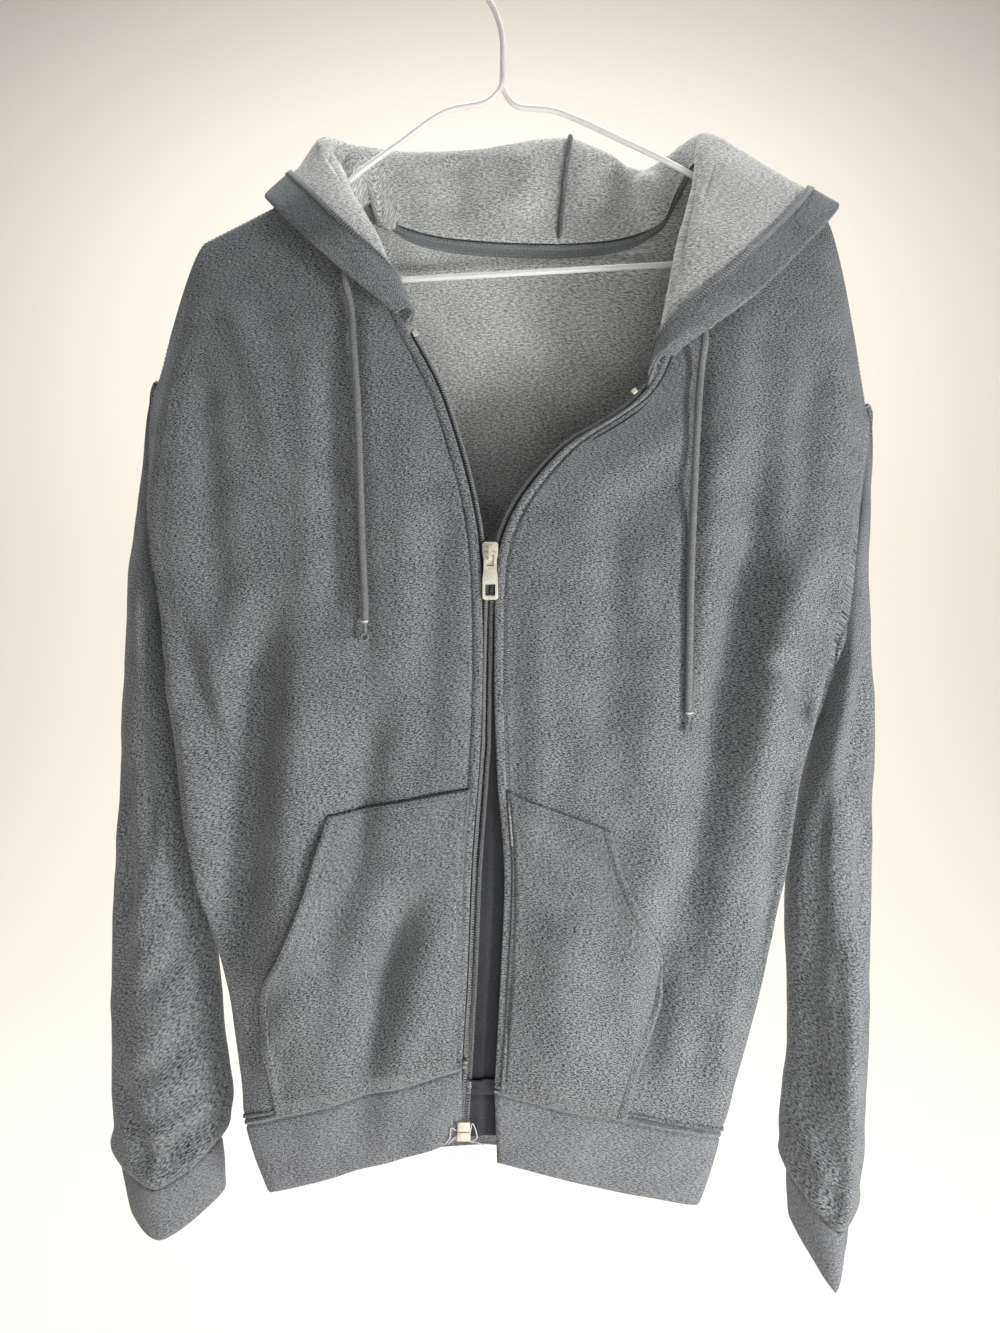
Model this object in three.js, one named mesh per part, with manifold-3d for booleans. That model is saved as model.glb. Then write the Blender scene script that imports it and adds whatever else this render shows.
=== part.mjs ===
// A zip-up hooded sweatshirt on a white wire hanger, half unzipped, with its hood laid back.
// Millimetres, +Z up, +X to the right as seen from the front, the front facing -Y.
// The origin is the underside of the hook's crown, where a rail or wall hook carries it.
import * as THREE from 'three';
import { mergeVertices } from 'three/addons/utils/BufferGeometryUtils.js';
import Module from 'manifold-3d';

const fleeceWall = 2.2;
const ribWall = 2.8;
const tapeWall = 1.0;
const seamGap = 0.3;
const wireDiameter = 4.4;
const drawcordDiameter = 5.2;
const eyeletDiameter = 11;

const ribHeight = 54;
const chainEdge = 4;
const tapeHidden = 6.5;
const pocketLift = 0.9;

const jersey = new THREE.MeshStandardMaterial({ color: 0x5c646a, roughness: 0.95 });
const ribKnit = new THREE.MeshStandardMaterial({ color: 0x666d73, roughness: 0.95 });
const darkTape = new THREE.MeshStandardMaterial({ color: 0x4b5357, roughness: 0.9 });
const coil = new THREE.MeshStandardMaterial({ color: 0x24262a, roughness: 0.6 });
const nickel = new THREE.MeshStandardMaterial({ color: 0xd9d3c0, roughness: 0.35, metalness: 0.9 });
const braid = new THREE.MeshStandardMaterial({ color: 0x80878c, roughness: 0.9 });
const whiteCoat = new THREE.MeshStandardMaterial({ color: 0xf3f1ea, roughness: 0.4 });

// A short table: the column names in one string, then a row of numbers for each section.
function table(columns, ...rows) {
  const names = columns.split(' ');
  return rows.map((row) => Object.fromEntries(names.map((name, index) => [name, row[index]])));
}

// The front panels' sections, from the hem seam (level 0) by the armpit (4), the zip's top (7)
// to the shoulder seam (9). Inner is the zip edge and then the neck edge, crease is the turn
// at the side of the front, and seam is the side seam and then the front armhole seam.
const frontColumns = 'innerX innerY innerZ creaseX creaseY creaseZ seamX seamY seamZ';
const frontLeftSections = table(frontColumns,
  [-21, -38, -826, -181, -24, -873, -176, 4, -878],
  [-17, -38, -755, -191, -24, -788, -183, 2, -790],
  [-14, -38, -680, -216, -24, -698, -203, -2, -702],
  [-8, -37, -600, -231, -24, -600, -219, -4, -606],
  [-6.5, -35, -512, -242, -23, -506, -238, 2, -514],
  [-12, -33, -436, -248, -23, -436, -252, -17, -440],
  [-35, -31, -352, -238, -22, -358, -257, -9, -378],
  [-62, -27, -297, -224, -16, -292, -256, 1, -346],
  [-86, -19, -240, -220, -9, -258, -253.5, 5, -335],
  [-112, 0, -174, -220, -1, -231, -251, 7, -329],
);
const frontRightSections = table(frontColumns,
  [2, -38, -843, 168, -24, -882, 164, 4, -887],
  [6, -38, -770, 194, -24, -794, 187, 2, -796],
  [9, -38, -690, 216, -24, -695, 204, -2, -698],
  [4, -37, -620, 227, -24, -628, 214, -4, -632],
  [2, -35, -535, 243, -23, -560, 238, 2, -570],
  [8, -33, -450, 257, -23, -468, 261, -17, -476],
  [48, -32, -390, 254, -22, -385, 274, -8, -412],
  [113, -28, -341, 252, -16, -300, 281, 1, -366],
  [136, -18, -255, 252, -9, -240, 282.5, 5, -352],
  [152, 0, -167, 254, -1, -211, 281, 7, -346],
);

// The back panel's sections at the same levels: a corner at each side and the middle.
const backSections = table('leftX leftY leftZ middleX middleY middleZ rightX rightY rightZ',
  [-150, 40, -880, -5, 48, -868, 138, 40, -884],
  [-155, 40, -792, 3, 48, -785, 160, 40, -796],
  [-168, 36, -702, 6, 46, -698, 172, 36, -698],
  [-178, 32, -606, 10, 43, -608, 182, 32, -630],
  [-196, 38, -512, 14, 40, -520, 202, 38, -560],
  [-208, 44, -448, 20, 38, -450, 218, 44, -476],
  [-213, 42, -380, 26, 35, -380, 228, 42, -398],
  [-216, 33, -318, 32, 31, -318, 240, 33, -325],
  [-219, 16, -258, 40, 26, -262, 250, 16, -245],
  [-220, -1, -231, 50, 20, -218, 254, -1, -211],
);

// The back armhole seams, from the armpit (level 4) to the drop point (level 9).
const backArmholeLeft = table('x y z',
  [-238, 2, -514], [-247, 37, -456], [-255, 38, -402], [-258, 27, -360], [-255, 16, -338], [-251, 7, -329],
);
const backArmholeRight = table('x y z',
  [238, 2, -570], [256, 37, -496], [270, 38, -428], [281, 27, -380], [283, 16, -356], [281, 7, -346],
);

// The sleeves' sections below the armhole, down to the wrist seam and then the cuff's foot.
// Each is a ring through its outer, front, inner and back points.
const sleeveColumns = 'outerX outerY outerZ frontX frontY frontZ innerX innerY innerZ backX backY backZ';
const sleeveLeftSections = table(sleeveColumns,
  [-276, 15, -470, -261, -11, -520, -241, 16, -545, -254, 50, -505],
  [-281, 16, -560, -257, -12, -580, -234, 18, -596, -254, 56, -570],
  [-285, 16, -650, -249, -14, -655, -223, 18, -664, -252, 55, -650],
  [-289, 15, -735, -249, -17, -735, -215, 17, -740, -250, 51, -735],
  [-290, 14, -815, -249, -19, -815, -211, 16, -815, -250, 47, -815],
  [-289, 14, -880, -247, -21, -888, -201, 14, -872, -247, 44, -880],
  [-283, 14, -914, -246, -17, -927, -208, 14, -902, -246, 40, -916],
);
const sleeveRightSections = table(sleeveColumns,
  [288, 16, -500, 262, -12, -566, 243, 16, -602, 264, 50, -560],
  [292, 17, -590, 254, -13, -622, 232, 18, -648, 262, 56, -615],
  [291, 18, -680, 250, -14, -690, 225, 18, -700, 258, 55, -690],
  [289, 18, -760, 258, -18, -765, 225, 17, -768, 257, 51, -762],
  [286, 18, -840, 262, -22, -842, 226, 16, -835, 257, 47, -838],
  [282, 17, -912, 258, -24, -922, 218, 13, -892, 252, 43, -902],
  [272, 14, -950, 253, -17, -958, 224, 12, -925, 249, 38, -936],
);
const cuffFeet = {
  left: table(sleeveColumns, [-275, 14, -954, -243, -14, -965, -203, 14, -941, -243, 37, -956]),
  right: table(sleeveColumns, [260, 12, -986, 252, -15, -1003, 226, 11, -963, 246, 34, -976]),
};

// The hood's sections from the centre seam (spread 0) by the shoulder (0.5) to the zip's top (1).
// Each goes from the neck seam over the crest, down to the low point and out to the opening edge.
const hoodColumns = 'spread crestX crestY crestZ lowX lowY lowZ edgeX edgeY edgeZ';
const hoodLeftSections = table(hoodColumns,
  [0, 60, 29, -134, 62, 66, -345, 62, 92, -185],
  [0.14, -4, 28, -141, -22, 66, -330, -20, 90, -186],
  [0.28, -66, 27, -147, -90, 62, -286, -88, 82, -190],
  [0.4, -106, 20, -147, -132, 48, -222, -142, 58, -198],
  [0.5, -126, 2, -152, -147, 5, -171, -169, 4, -190],
  [0.75, -92, -36, -222, -107, -44, -231, -128, -38, -240],
  [1, -57, -35, -291, -61, -40, -289, -67, -39, -292],
);
const hoodRightSections = table(hoodColumns,
  [0, 60, 29, -134, 62, 66, -345, 62, 92, -185],
  [0.14, 88, 28, -145, 110, 65, -330, 115, 89, -187],
  [0.28, 116, 26, -162, 158, 58, -280, 168, 76, -194],
  [0.4, 140, 20, -152, 196, 42, -216, 236, 48, -204],
  [0.5, 162, 2, -147, 206, 2, -169, 257, 0, -201],
  [0.75, 136, -36, -246, 164, -44, -262, 188, -40, -277],
  [1, 117, -37, -329, 121, -43, -324, 128, -42, -320],
);

// The largest folds: each runs from the start by the middle to the end, and raises the cloth
// by its height or sinks it where that is negative, over its width to either side.
const foldColumns = 'startX startZ middleX middleZ endX endZ width height';
const frontFolds = {
  left: table(foldColumns,
    [-160, -480, -176, -620, -188, -780, 17, -9],
    [-52, -690, -84, -805, -101, -940, 15, -10],
    [-122, -520, -138, -680, -142, -880, 22, 5],
    [-116, -290, -114, -410, -110, -530, 11, -4],
    [-40, -850, -42, -880, -44, -940, 12, 5],
  ),
  right: table(foldColumns,
    [203, -322, 166, -590, 96, -890, 17, -9],
    [152, -400, 112, -428, 70, -454, 13, -5],
    [238, -440, 204, -536, 184, -650, 18, 6],
    [200, -537, 221, -560, 240, -588, 9, -7],
    [60, -700, 52, -800, 48, -920, 26, 5],
  ),
};

const levelsBelowArmpit = [0, 0.4, 0.8, 1.2, 1.6, 2, 2.4, 2.8, 3.2, 3.6];
const levelsAboveArmpit = [4, 4.6, 5.2, 5.8, 6.4, 7, 7.6, 8.2, 8.7, 8.92, 9];
const levels = [...levelsBelowArmpit, ...levelsAboveArmpit];
const armpitRow = levelsBelowArmpit.length;
const zipTopRow = levels.indexOf(7);
const shoulderLevel = 9;
const frontColumnsToCrease = 10;
const frontColumnsToSeam = 3;
const backColumnsToCorner = 3;
const backColumnsToNeck = frontColumnsToCrease;
const neckDips = [1, 0.92, 0.78, 0.6, 0.4, 0.2, 0];
const neckRises = [1, 0.84, 0.44, 0.18, 0.06, 0.015, 0];
const backColumnsToMiddle = neckDips.length - 1;

const vector = (x, y, z) => new THREE.Vector3(x, y, z);

// A smooth value through a column's rows, at a level between two of them.
function valueAt(rows, column, level) {
  const low = Math.min(Math.floor(level), rows.length - 2);
  const share = level - low;
  const pick = (index) => rows[Math.max(0, Math.min(rows.length - 1, index))][column];
  const [before, start, end, after] = [pick(low - 1), pick(low), pick(low + 1), pick(low + 2)];
  const startSlope = (end - before) / 2;
  const endSlope = (after - start) / 2;
  return start + share * (startSlope + share * (3 * (end - start) - 2 * startSlope - endSlope
    + share * (2 * (start - end) + startSlope + endSlope)));
}

function pointAt(rows, name, level) {
  return vector(valueAt(rows, name + 'X', level), valueAt(rows, name + 'Y', level), valueAt(rows, name + 'Z', level));
}

// How far the folds raise the cloth at a place on the front.
function foldHeight(folds, x, z) {
  let height = 0;
  for (const fold of folds) {
    let nearest = Infinity;
    let nearestShare = 0;
    for (let step = 0; step <= 16; step += 1) {
      const share = step / 16;
      const start = (1 - share) * (1 - 2 * share);
      const middle = 4 * share * (1 - share);
      const end = share * (2 * share - 1);
      const foldX = start * fold.startX + middle * fold.middleX + end * fold.endX;
      const foldZ = start * fold.startZ + middle * fold.middleZ + end * fold.endZ;
      const distance = Math.hypot(x - foldX, z - foldZ);
      if (distance < nearest) {
        nearest = distance;
        nearestShare = share;
      }
    }
    const fade = Math.min(1, nearestShare / 0.2, (1 - nearestShare) / 0.2);
    height += fold.height * fade * Math.exp(-((nearest / fold.width) ** 2));
  }
  return height;
}

// The shoulder rolls over the wire, so the cloth stands off the wire's plane just below the seam.
function shoulderRoll(level) {
  const drop = (shoulderLevel - level) * 60;
  return level > 6 ? 6.4 * (1 - Math.exp(-drop / 3.5)) * Math.exp(-drop / 90) : 0;
}

function frontPoint(side, share, level) {
  const rows = side === 'left' ? frontLeftSections : frontRightSections;
  const inner = pointAt(rows, 'inner', level);
  const crease = pointAt(rows, 'crease', level);
  const seam = pointAt(rows, 'seam', level);
  const point = share <= 1 ? inner.clone().lerp(crease, share) : crease.clone().lerp(seam, share - 1);
  if (share <= 1) {
    const belly = 5 * Math.sin(Math.PI * share) * Math.min(1, (shoulderLevel - level) / 3);
    const fade = Math.min(1, (shoulderLevel - level) / 1.5, (1 - share) / 0.1, share / 0.1);
    point.y -= belly + fade * foldHeight(frontFolds[side], point.x, point.z);
  }
  point.y -= shoulderRoll(level) * Math.max(0.25, Math.min(1, (2 - share) / 0.35));
  return point;
}

// The front panel's points: a row for each level, from the zip edge to the side.
function frontGrid(side) {
  const shares = [];
  for (let column = 0; column <= frontColumnsToCrease; column += 1) shares.push(column / frontColumnsToCrease);
  for (let column = 1; column <= frontColumnsToSeam; column += 1) shares.push(1 + column / frontColumnsToSeam);
  return levels.map((level) => shares.map((share) => frontPoint(side, share, level)));
}

function backSeamPoint(side, level) {
  if (level <= 4) return pointAt(side === 'left' ? frontLeftSections : frontRightSections, 'seam', level);
  const rows = side === 'left' ? backArmholeLeft : backArmholeRight;
  return vector(...['x', 'y', 'z'].map((axis) => valueAt(rows, axis, level - 4)));
}

// The back panel's half from one side seam to the middle, with the neck's dip in its top edge.
function backHalf(side, level) {
  const seam = backSeamPoint(side, level);
  const corner = pointAt(backSections, side, level);
  const middle = pointAt(backSections, 'middle', level);
  const rows = side === 'left' ? frontLeftSections : frontRightSections;
  const neck = pointAt(rows, 'inner', shoulderLevel);
  const topCorner = pointAt(backSections, side, shoulderLevel);
  const topMiddle = pointAt(backSections, 'middle', shoulderLevel);
  const lift = Math.max(0, (level - 7) / 2) ** 1.6;
  const roll = shoulderRoll(level);
  const points = [];
  for (let column = 0; column < backColumnsToCorner; column += 1) {
    const point = seam.clone().lerp(corner, column / backColumnsToCorner);
    point.y += roll * Math.max(0.25, Math.min(1, column / backColumnsToCorner / 0.5));
    points.push(point);
  }
  const across = backColumnsToNeck + backColumnsToMiddle;
  for (let column = 0; column <= across; column += 1) {
    const share = column / across;
    const point = corner.clone().lerp(middle, share);
    point.y += 6 * Math.sin(Math.PI * share) * Math.min(1, (shoulderLevel - level) / 3) + roll;
    const top = topCorner.clone().lerp(topMiddle, share);
    let target;
    if (column <= backColumnsToNeck) {
      target = topCorner.clone().lerp(neck, column / backColumnsToNeck);
    } else {
      const dip = neckDips[column - backColumnsToNeck];
      target = topMiddle.clone().lerp(neck, dip);
      target.z = topMiddle.z + (neck.z - topMiddle.z) * neckRises[column - backColumnsToNeck];
      target.y = topMiddle.y + (neck.y - topMiddle.y) * dip ** 2.2;
    }
    points.push(point.add(target.sub(top).multiplyScalar(lift)));
  }
  return points;
}

function backGrid() {
  return levels.map((level) => {
    const right = backHalf('right', level).reverse();
    return [...backHalf('left', level), ...right.slice(1)];
  });
}

// The normals of a grid of points, or of a ring of them where its columns close on themselves.
function gridNormals(grid, closed, flip) {
  const rows = grid.length;
  const columns = grid[0].length;
  return grid.map((row, i) => row.map((point, j) => {
    const above = grid[Math.min(rows - 1, i + 1)][j];
    const below = grid[Math.max(0, i - 1)][j];
    const right = closed ? row[(j + 1) % columns] : row[Math.min(columns - 1, j + 1)];
    const left = closed ? row[(j + columns - 1) % columns] : row[Math.max(0, j - 1)];
    const normal = right.clone().sub(left).cross(above.clone().sub(below));
    return normal.normalize().multiplyScalar(flip ? -1 : 1);
  }));
}

const seamKey = (point) => [point.x, point.y, point.z].map((value) => Math.round(value * 20)).join(',');
const seamLines = new Map();
const seamSides = new Map();

// The direction of a seam at each of its points, kept for every piece that is sewn there.
function drawSeam(name, points, closed = false) {
  const count = points.length;
  points.forEach((point, index) => {
    const next = points[closed ? (index + 1) % count : Math.min(count - 1, index + 1)];
    const last = points[closed ? (index + count - 1) % count : Math.max(0, index - 1)];
    seamLines.set(name + seamKey(point), next.clone().sub(last).normalize());
  });
}

// A piece of cloth: its outer points, their normals and the edges that are sewn to another piece.
function clothPiece(name, grid, { closed = false, flip = false, sewn = [], material = jersey, wall = fleeceWall }) {
  return { name, grid, closed, flip, sewn, material, wall, normals: gridNormals(grid, closed, flip) };
}

// The cells of an edge, written as 'first', 'last', 'left' or 'right', with its range if it has one.
function edgeCells(piece, edge) {
  const lastRow = piece.grid.length - 1;
  const lastColumn = piece.grid[0].length - 1;
  const cells = [];
  const along = edge.side === 'first' || edge.side === 'last' ? lastColumn : lastRow;
  const from = edge.from ?? 0;
  const to = edge.to ?? along;
  for (let index = from; index <= to; index += 1) {
    if (edge.side === 'first') cells.push([0, index]);
    if (edge.side === 'last') cells.push([lastRow, index]);
    if (edge.side === 'left') cells.push([index, 0]);
    if (edge.side === 'right') cells.push([index, lastColumn]);
  }
  return cells;
}

// How a piece leaves a seam at one of its points: the way in from the edge, and the way out of the cloth.
function seamSide(piece, edge, [i, j]) {
  const step = { first: [1, 0], last: [-1, 0], left: [0, 1], right: [0, -1] }[edge.side];
  const point = piece.grid[i][j];
  const line = seamLines.get(edge.seam + seamKey(point));
  const inward = piece.grid[i + step[0]][j + step[1]].clone().sub(point);
  inward.addScaledVector(line, -inward.dot(line)).normalize();
  const outward = line.clone().cross(inward);
  if (outward.dot(piece.normals[i][j]) < 0) outward.negate();
  return { inward, outward };
}

// Each seam point's one direction through the cloth is the mean of its pieces' own. In a deep
// valley or over a sharp ridge, the ways in from the edges give it too.
function measureSeams(piece) {
  for (const edge of piece.sewn) {
    for (const cell of edgeCells(piece, edge)) {
      const key = seamKey(piece.grid[cell[0]][cell[1]]);
      const sides = seamSides.get(key) || { inward: vector(0, 0, 0), outward: vector(0, 0, 0), count: 0 };
      const { inward, outward } = seamSide(piece, edge, cell);
      sides.inward.add(inward);
      sides.outward.add(outward);
      sides.count += 1;
      seamSides.set(key, sides);
    }
  }
}

function seamNormal(key) {
  const { inward, outward, count, fixed } = seamSides.get(key);
  const valley = Math.sign(inward.dot(outward));
  const normal = fixed ? fixed.clone() : outward.clone().addScaledVector(inward, valley).normalize();
  return { normal, mitre: 1 / Math.max(0.65, normal.dot(outward) / count) };
}

// Sewn edges share that direction and stand half the seam's gap from the line.
function sewEdges(piece) {
  const { grid, normals } = piece;
  const moves = [];
  for (const edge of piece.sewn) {
    for (const cell of edgeCells(piece, edge)) {
      const point = grid[cell[0]][cell[1]];
      const { inward } = seamSide(piece, edge, cell);
      const { normal, mitre } = seamNormal(seamKey(point));
      const across = normal.clone().cross(seamLines.get(edge.seam + seamKey(point))).normalize();
      if (across.dot(inward) < 0) across.negate();
      moves.push([cell, across.multiplyScalar(seamGap / 2), normal.multiplyScalar(mitre)]);
    }
  }
  for (const [[i, j], move, normal] of moves) {
    grid[i][j].add(move);
    normals[i][j] = normal;
  }
}

// A closed wall between a grid of outer points and the same points moved in by its thickness.
function wallGeometry(outer, inner, closed, flip) {
  const rows = outer.length;
  const columns = outer[0].length;
  const positions = [...outer.flat(), ...inner.flat()].flatMap((point) => [point.x, point.y, point.z]);
  const at = (layer, i, j) => layer * rows * columns + i * columns + (j % columns);
  const faces = [];
  const quad = (a, b, c, d) => (flip ? faces.push(a, c, b, a, d, c) : faces.push(a, b, c, a, c, d));
  const height = (index) => positions[3 * index] + 0.6 * positions[3 * index + 2] + 0.3 * positions[3 * index + 1];
  const edgeQuad = (a, b, c, d) => {
    const outerNext = b < rows * columns ? b : d;
    return height(a) > height(outerNext) ? quad(a, b, c, d) : quad(b, c, d, a);
  };
  const spans = closed ? columns : columns - 1;
  for (let i = 0; i < rows - 1; i += 1) {
    for (let j = 0; j < spans; j += 1) {
      quad(at(0, i, j), at(0, i, j + 1), at(0, i + 1, j + 1), at(0, i + 1, j));
      quad(at(1, i, j), at(1, i + 1, j), at(1, i + 1, j + 1), at(1, i, j + 1));
    }
  }
  for (let j = 0; j < spans; j += 1) {
    edgeQuad(at(0, 0, j), at(1, 0, j), at(1, 0, j + 1), at(0, 0, j + 1));
    edgeQuad(at(0, rows - 1, j), at(0, rows - 1, j + 1), at(1, rows - 1, j + 1), at(1, rows - 1, j));
  }
  if (!closed) {
    for (let i = 0; i < rows - 1; i += 1) {
      edgeQuad(at(0, i, 0), at(0, i + 1, 0), at(1, i + 1, 0), at(1, i, 0));
      edgeQuad(at(0, i, spans), at(1, i, spans), at(1, i + 1, spans), at(0, i + 1, spans));
    }
  }
  return solidGeometry(positions, faces);
}

function solidGeometry(positions, faces) {
  const geometry = new THREE.BufferGeometry();
  geometry.setAttribute('position', new THREE.Float32BufferAttribute(positions, 3));
  geometry.setIndex(faces);
  geometry.computeVertexNormals();
  return geometry;
}

const garment = new THREE.Group();

function addMesh(name, geometry, material) {
  const mesh = new THREE.Mesh(geometry, material);
  mesh.name = name;
  garment.add(mesh);
  return mesh;
}

function addPiece(piece) {
  const inner = piece.grid.map((row, i) => row.map(
    (point, j) => point.clone().addScaledVector(piece.normals[i][j], -piece.wall),
  ));
  addMesh(piece.name, wallGeometry(piece.grid, inner, piece.closed, piece.flip), piece.material);
}

// The front panels and the back.
const levelHem = { side: 'first', seam: 'hem' };
function frontPiece(side) {
  return clothPiece('front_' + side, frontGrid(side), {
    flip: side === 'left',
    sewn: [
      levelHem,
      { side: 'right', seam: 'side' + side, to: armpitRow },
      { side: 'right', seam: 'armhole' + side, from: armpitRow },
      { side: 'last', seam: 'shoulder' + side },
      { side: 'left', seam: 'neck', from: zipTopRow },
    ],
  });
}
const front = { left: frontPiece('left'), right: frontPiece('right') };
const backLastColumn = 2 * (backColumnsToCorner + backColumnsToNeck + backColumnsToMiddle);
const backNeckColumn = backColumnsToCorner + backColumnsToNeck;
const back = clothPiece('back', backGrid(), {
  flip: true,
  sewn: [
    levelHem,
    { side: 'left', seam: 'sideleft', to: armpitRow },
    { side: 'left', seam: 'armholeleft', from: armpitRow },
    { side: 'right', seam: 'sideright', to: armpitRow },
    { side: 'right', seam: 'armholeright', from: armpitRow },
    { side: 'last', seam: 'shoulderleft', to: backNeckColumn },
    { side: 'last', seam: 'neck', from: backNeckColumn, to: backLastColumn - backNeckColumn },
    { side: 'last', seam: 'shoulderright', from: backLastColumn - backNeckColumn },
  ],
});
for (const side of ['left', 'right']) {
  const edge = front[side].grid.map((row) => row[row.length - 1]);
  const topRow = back.grid[back.grid.length - 1];
  drawSeam('side' + side, edge.slice(0, armpitRow + 1));
  drawSeam('shoulder' + side, side === 'left' ? topRow.slice(0, backNeckColumn + 1) : topRow.slice(-backNeckColumn - 1));
}

// A ring of a sleeve, from the outer point by the front to the inner point and round the back.
const ringQuarter = 5;
const ringPoints = ringQuarter * 4;
function sleeveRing(rows, level) {
  const keys = ['outer', 'front', 'inner', 'back'].map((name) => pointAt(rows, name, level));
  const points = [];
  for (let index = 0; index < ringPoints; index += 1) {
    const turn = index / ringQuarter;
    const low = Math.floor(turn) % 4;
    const share = turn - Math.floor(turn);
    const [before, start, end, after] = [keys[(low + 3) % 4], keys[low], keys[(low + 1) % 4], keys[(low + 2) % 4]];
    const round = (axis) => {
      const startSlope = (end[axis] - before[axis]) / 2;
      const endSlope = (after[axis] - start[axis]) / 2;
      return start[axis] + share * (startSlope + share * (3 * (end[axis] - start[axis]) - 2 * startSlope - endSlope
        + share * (2 * (start[axis] - end[axis]) + startSlope + endSlope)));
    };
    points.push(vector(round('x'), round('y'), round('z')));
  }
  return points;
}

// The armhole seam as a ring: from the drop point down the front to the armpit and up the back.
function armholeRing(side) {
  const frontSeam = front[side].grid.slice(armpitRow).map((row) => row[row.length - 1].clone());
  const backSeam = back.grid.slice(armpitRow).map((row) => row[side === 'left' ? 0 : row.length - 1].clone());
  return [...frontSeam.reverse(), ...backSeam.slice(1, -1)];
}

// Just past the seam the sleeve leaves it squarely before it turns into its tube: by the first
// length at the drop point, and by the second on the armhole's sides.
const sleeveStart = { drop: 3, side: 9 };
const sleeveLevels = [0, 0.5, 1, 1.5, 2, 2.5, 3, 3.5, 4, 4.5, 5, 5.5, 6];
function sleevePiece(side) {
  const rows = side === 'left' ? sleeveLeftSections : sleeveRightSections;
  const seam = armholeRing(side);
  drawSeam('armhole' + side, seam, true);
  const tube = sleeveLevels.map((level) => sleeveRing(rows, level));
  const start = seam.map((point, index) => {
    const along = seamLines.get('armhole' + side + seamKey(point));
    const away = tube[0][index].clone().sub(point);
    away.addScaledVector(along, -away.dot(along)).normalize();
    const distance = point.distanceTo(seam[0]);
    away.x += (side === 'left' ? -2 : 2) * Math.exp(-distance / 10);
    const length = sleeveStart.drop + (sleeveStart.side - sleeveStart.drop) * Math.min(1, distance / 40);
    return point.clone().addScaledVector(away.normalize(), length);
  });
  const middle = start.map((point, index) => point.clone().lerp(tube[0][index], 0.45));
  return clothPiece('sleeve_' + side, [seam, start, middle, ...tube], {
    closed: true,
    flip: side === 'left',
    sewn: [{ side: 'first', seam: 'armhole' + side }, { side: 'last', seam: 'wrist' + side }],
  });
}
const sleeve = { left: sleevePiece('left'), right: sleevePiece('right') };

function cuffPiece(side) {
  const top = sleeve[side].grid[sleeve[side].grid.length - 1];
  drawSeam('wrist' + side, top, true);
  const foot = sleeveRing([cuffFeet[side][0], cuffFeet[side][0]], 0);
  const middle = top.map((point, index) => point.clone().lerp(foot[index], 0.5));
  return clothPiece('cuff_' + side, [top.map((point) => point.clone()), middle, foot], {
    closed: true, flip: side === 'left', sewn: [{ side: 'first', seam: 'wrist' + side }], material: ribKnit, wall: ribWall,
  });
}
const cuff = { left: cuffPiece('left'), right: cuffPiece('right') };

// The hem rib hangs from the fronts and the back in one band, open at the zip.
const hemDraw = { x: 0.9, y: 0.95 };
const hemLean = { left: -7, right: 2, reach: 50 };
function ribPoint(point, share) {
  const drop = ribHeight * share;
  const draw = share * Math.min(1, Math.abs(point.x) / 60);
  const lean = point.y > 0 ? 0 : Math.max(0, 1 - Math.abs(point.x) / hemLean.reach) * share;
  return vector(
    point.x * (1 - (1 - hemDraw.x) * draw) + (point.x < 0 ? hemLean.left : hemLean.right) * lean,
    point.y * (1 - (1 - hemDraw.y) * share),
    point.z - drop,
  );
}
const ribTop = [
  ...front.left.grid[0],
  ...back.grid[0].slice(1, -1),
  ...[...front.right.grid[0]].reverse(),
].map((point) => point.clone());
const rib = clothPiece('hem_rib', [0, 0.34, 0.67, 1].map((share) => ribTop.map((point) => ribPoint(point, share))), {
  sewn: [levelHem], material: ribKnit, wall: ribWall,
});
drawSeam('hem', ribTop);

// The hood's halves start on the neck seam: the back's top edge and then the front's neck edge.
function neckSeam(side) {
  const topRow = back.grid[back.grid.length - 1];
  const middle = backColumnsToCorner + backColumnsToNeck + backColumnsToMiddle;
  const step = side === 'left' ? -1 : 1;
  const stations = [];
  for (let column = 0; column <= backColumnsToMiddle; column += 1) {
    const spread = 0.5 * neckDips[backColumnsToMiddle - column];
    stations.push({ point: topRow[middle + step * column].clone(), spread });
  }
  for (let row = levels.length - 2; row >= zipTopRow; row -= 1) {
    const spread = 0.5 + 0.5 * (shoulderLevel - levels[row]) / 2;
    stations.push({ point: front[side].grid[row][0].clone(), spread });
  }
  return stations;
}

const hoodSteps = { crest: 4, low: 5, edge: 4 };
function hoodSection(rows, neck, spread) {
  let low = rows.findIndex((row) => row.spread > spread) - 1;
  if (low < 0) low = rows.length - 2;
  const level = low + (spread - rows[low].spread) / (rows[low + 1].spread - rows[low].spread);
  const crest = pointAt(rows, 'crest', level);
  const lowest = pointAt(rows, 'low', level);
  const edge = pointAt(rows, 'edge', level);
  const lying = THREE.MathUtils.smoothstep(spread, 0.34, 0.5);
  const outward = edge.clone().sub(neck).setZ(0).multiplyScalar(0.5);
  const crestSlope = outward.clone().lerp(lowest.clone().sub(neck).multiplyScalar(0.5), lying);
  const lowSlope = outward.clone().lerp(edge.clone().sub(crest).multiplyScalar(0.5), lying);
  const spans = [
    [neck, crest, crest.clone().sub(neck), crestSlope, hoodSteps.crest],
    [crest, lowest, crestSlope, lowSlope, hoodSteps.low],
    [lowest, edge, lowSlope, edge.clone().sub(lowest), hoodSteps.edge],
  ];
  const points = [neck.clone()];
  for (const [start, end, startSlope, endSlope, steps] of spans) {
    for (let step = 1; step <= steps; step += 1) {
      const t = step / steps;
      const point = start.clone().multiplyScalar((1 + 2 * t) * (1 - t) ** 2);
      point.addScaledVector(startSlope, t * (1 - t) ** 2);
      point.addScaledVector(end, t * t * (3 - 2 * t));
      point.addScaledVector(endSlope, t * t * (t - 1));
      points.push(point);
    }
  }
  return points;
}

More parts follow.
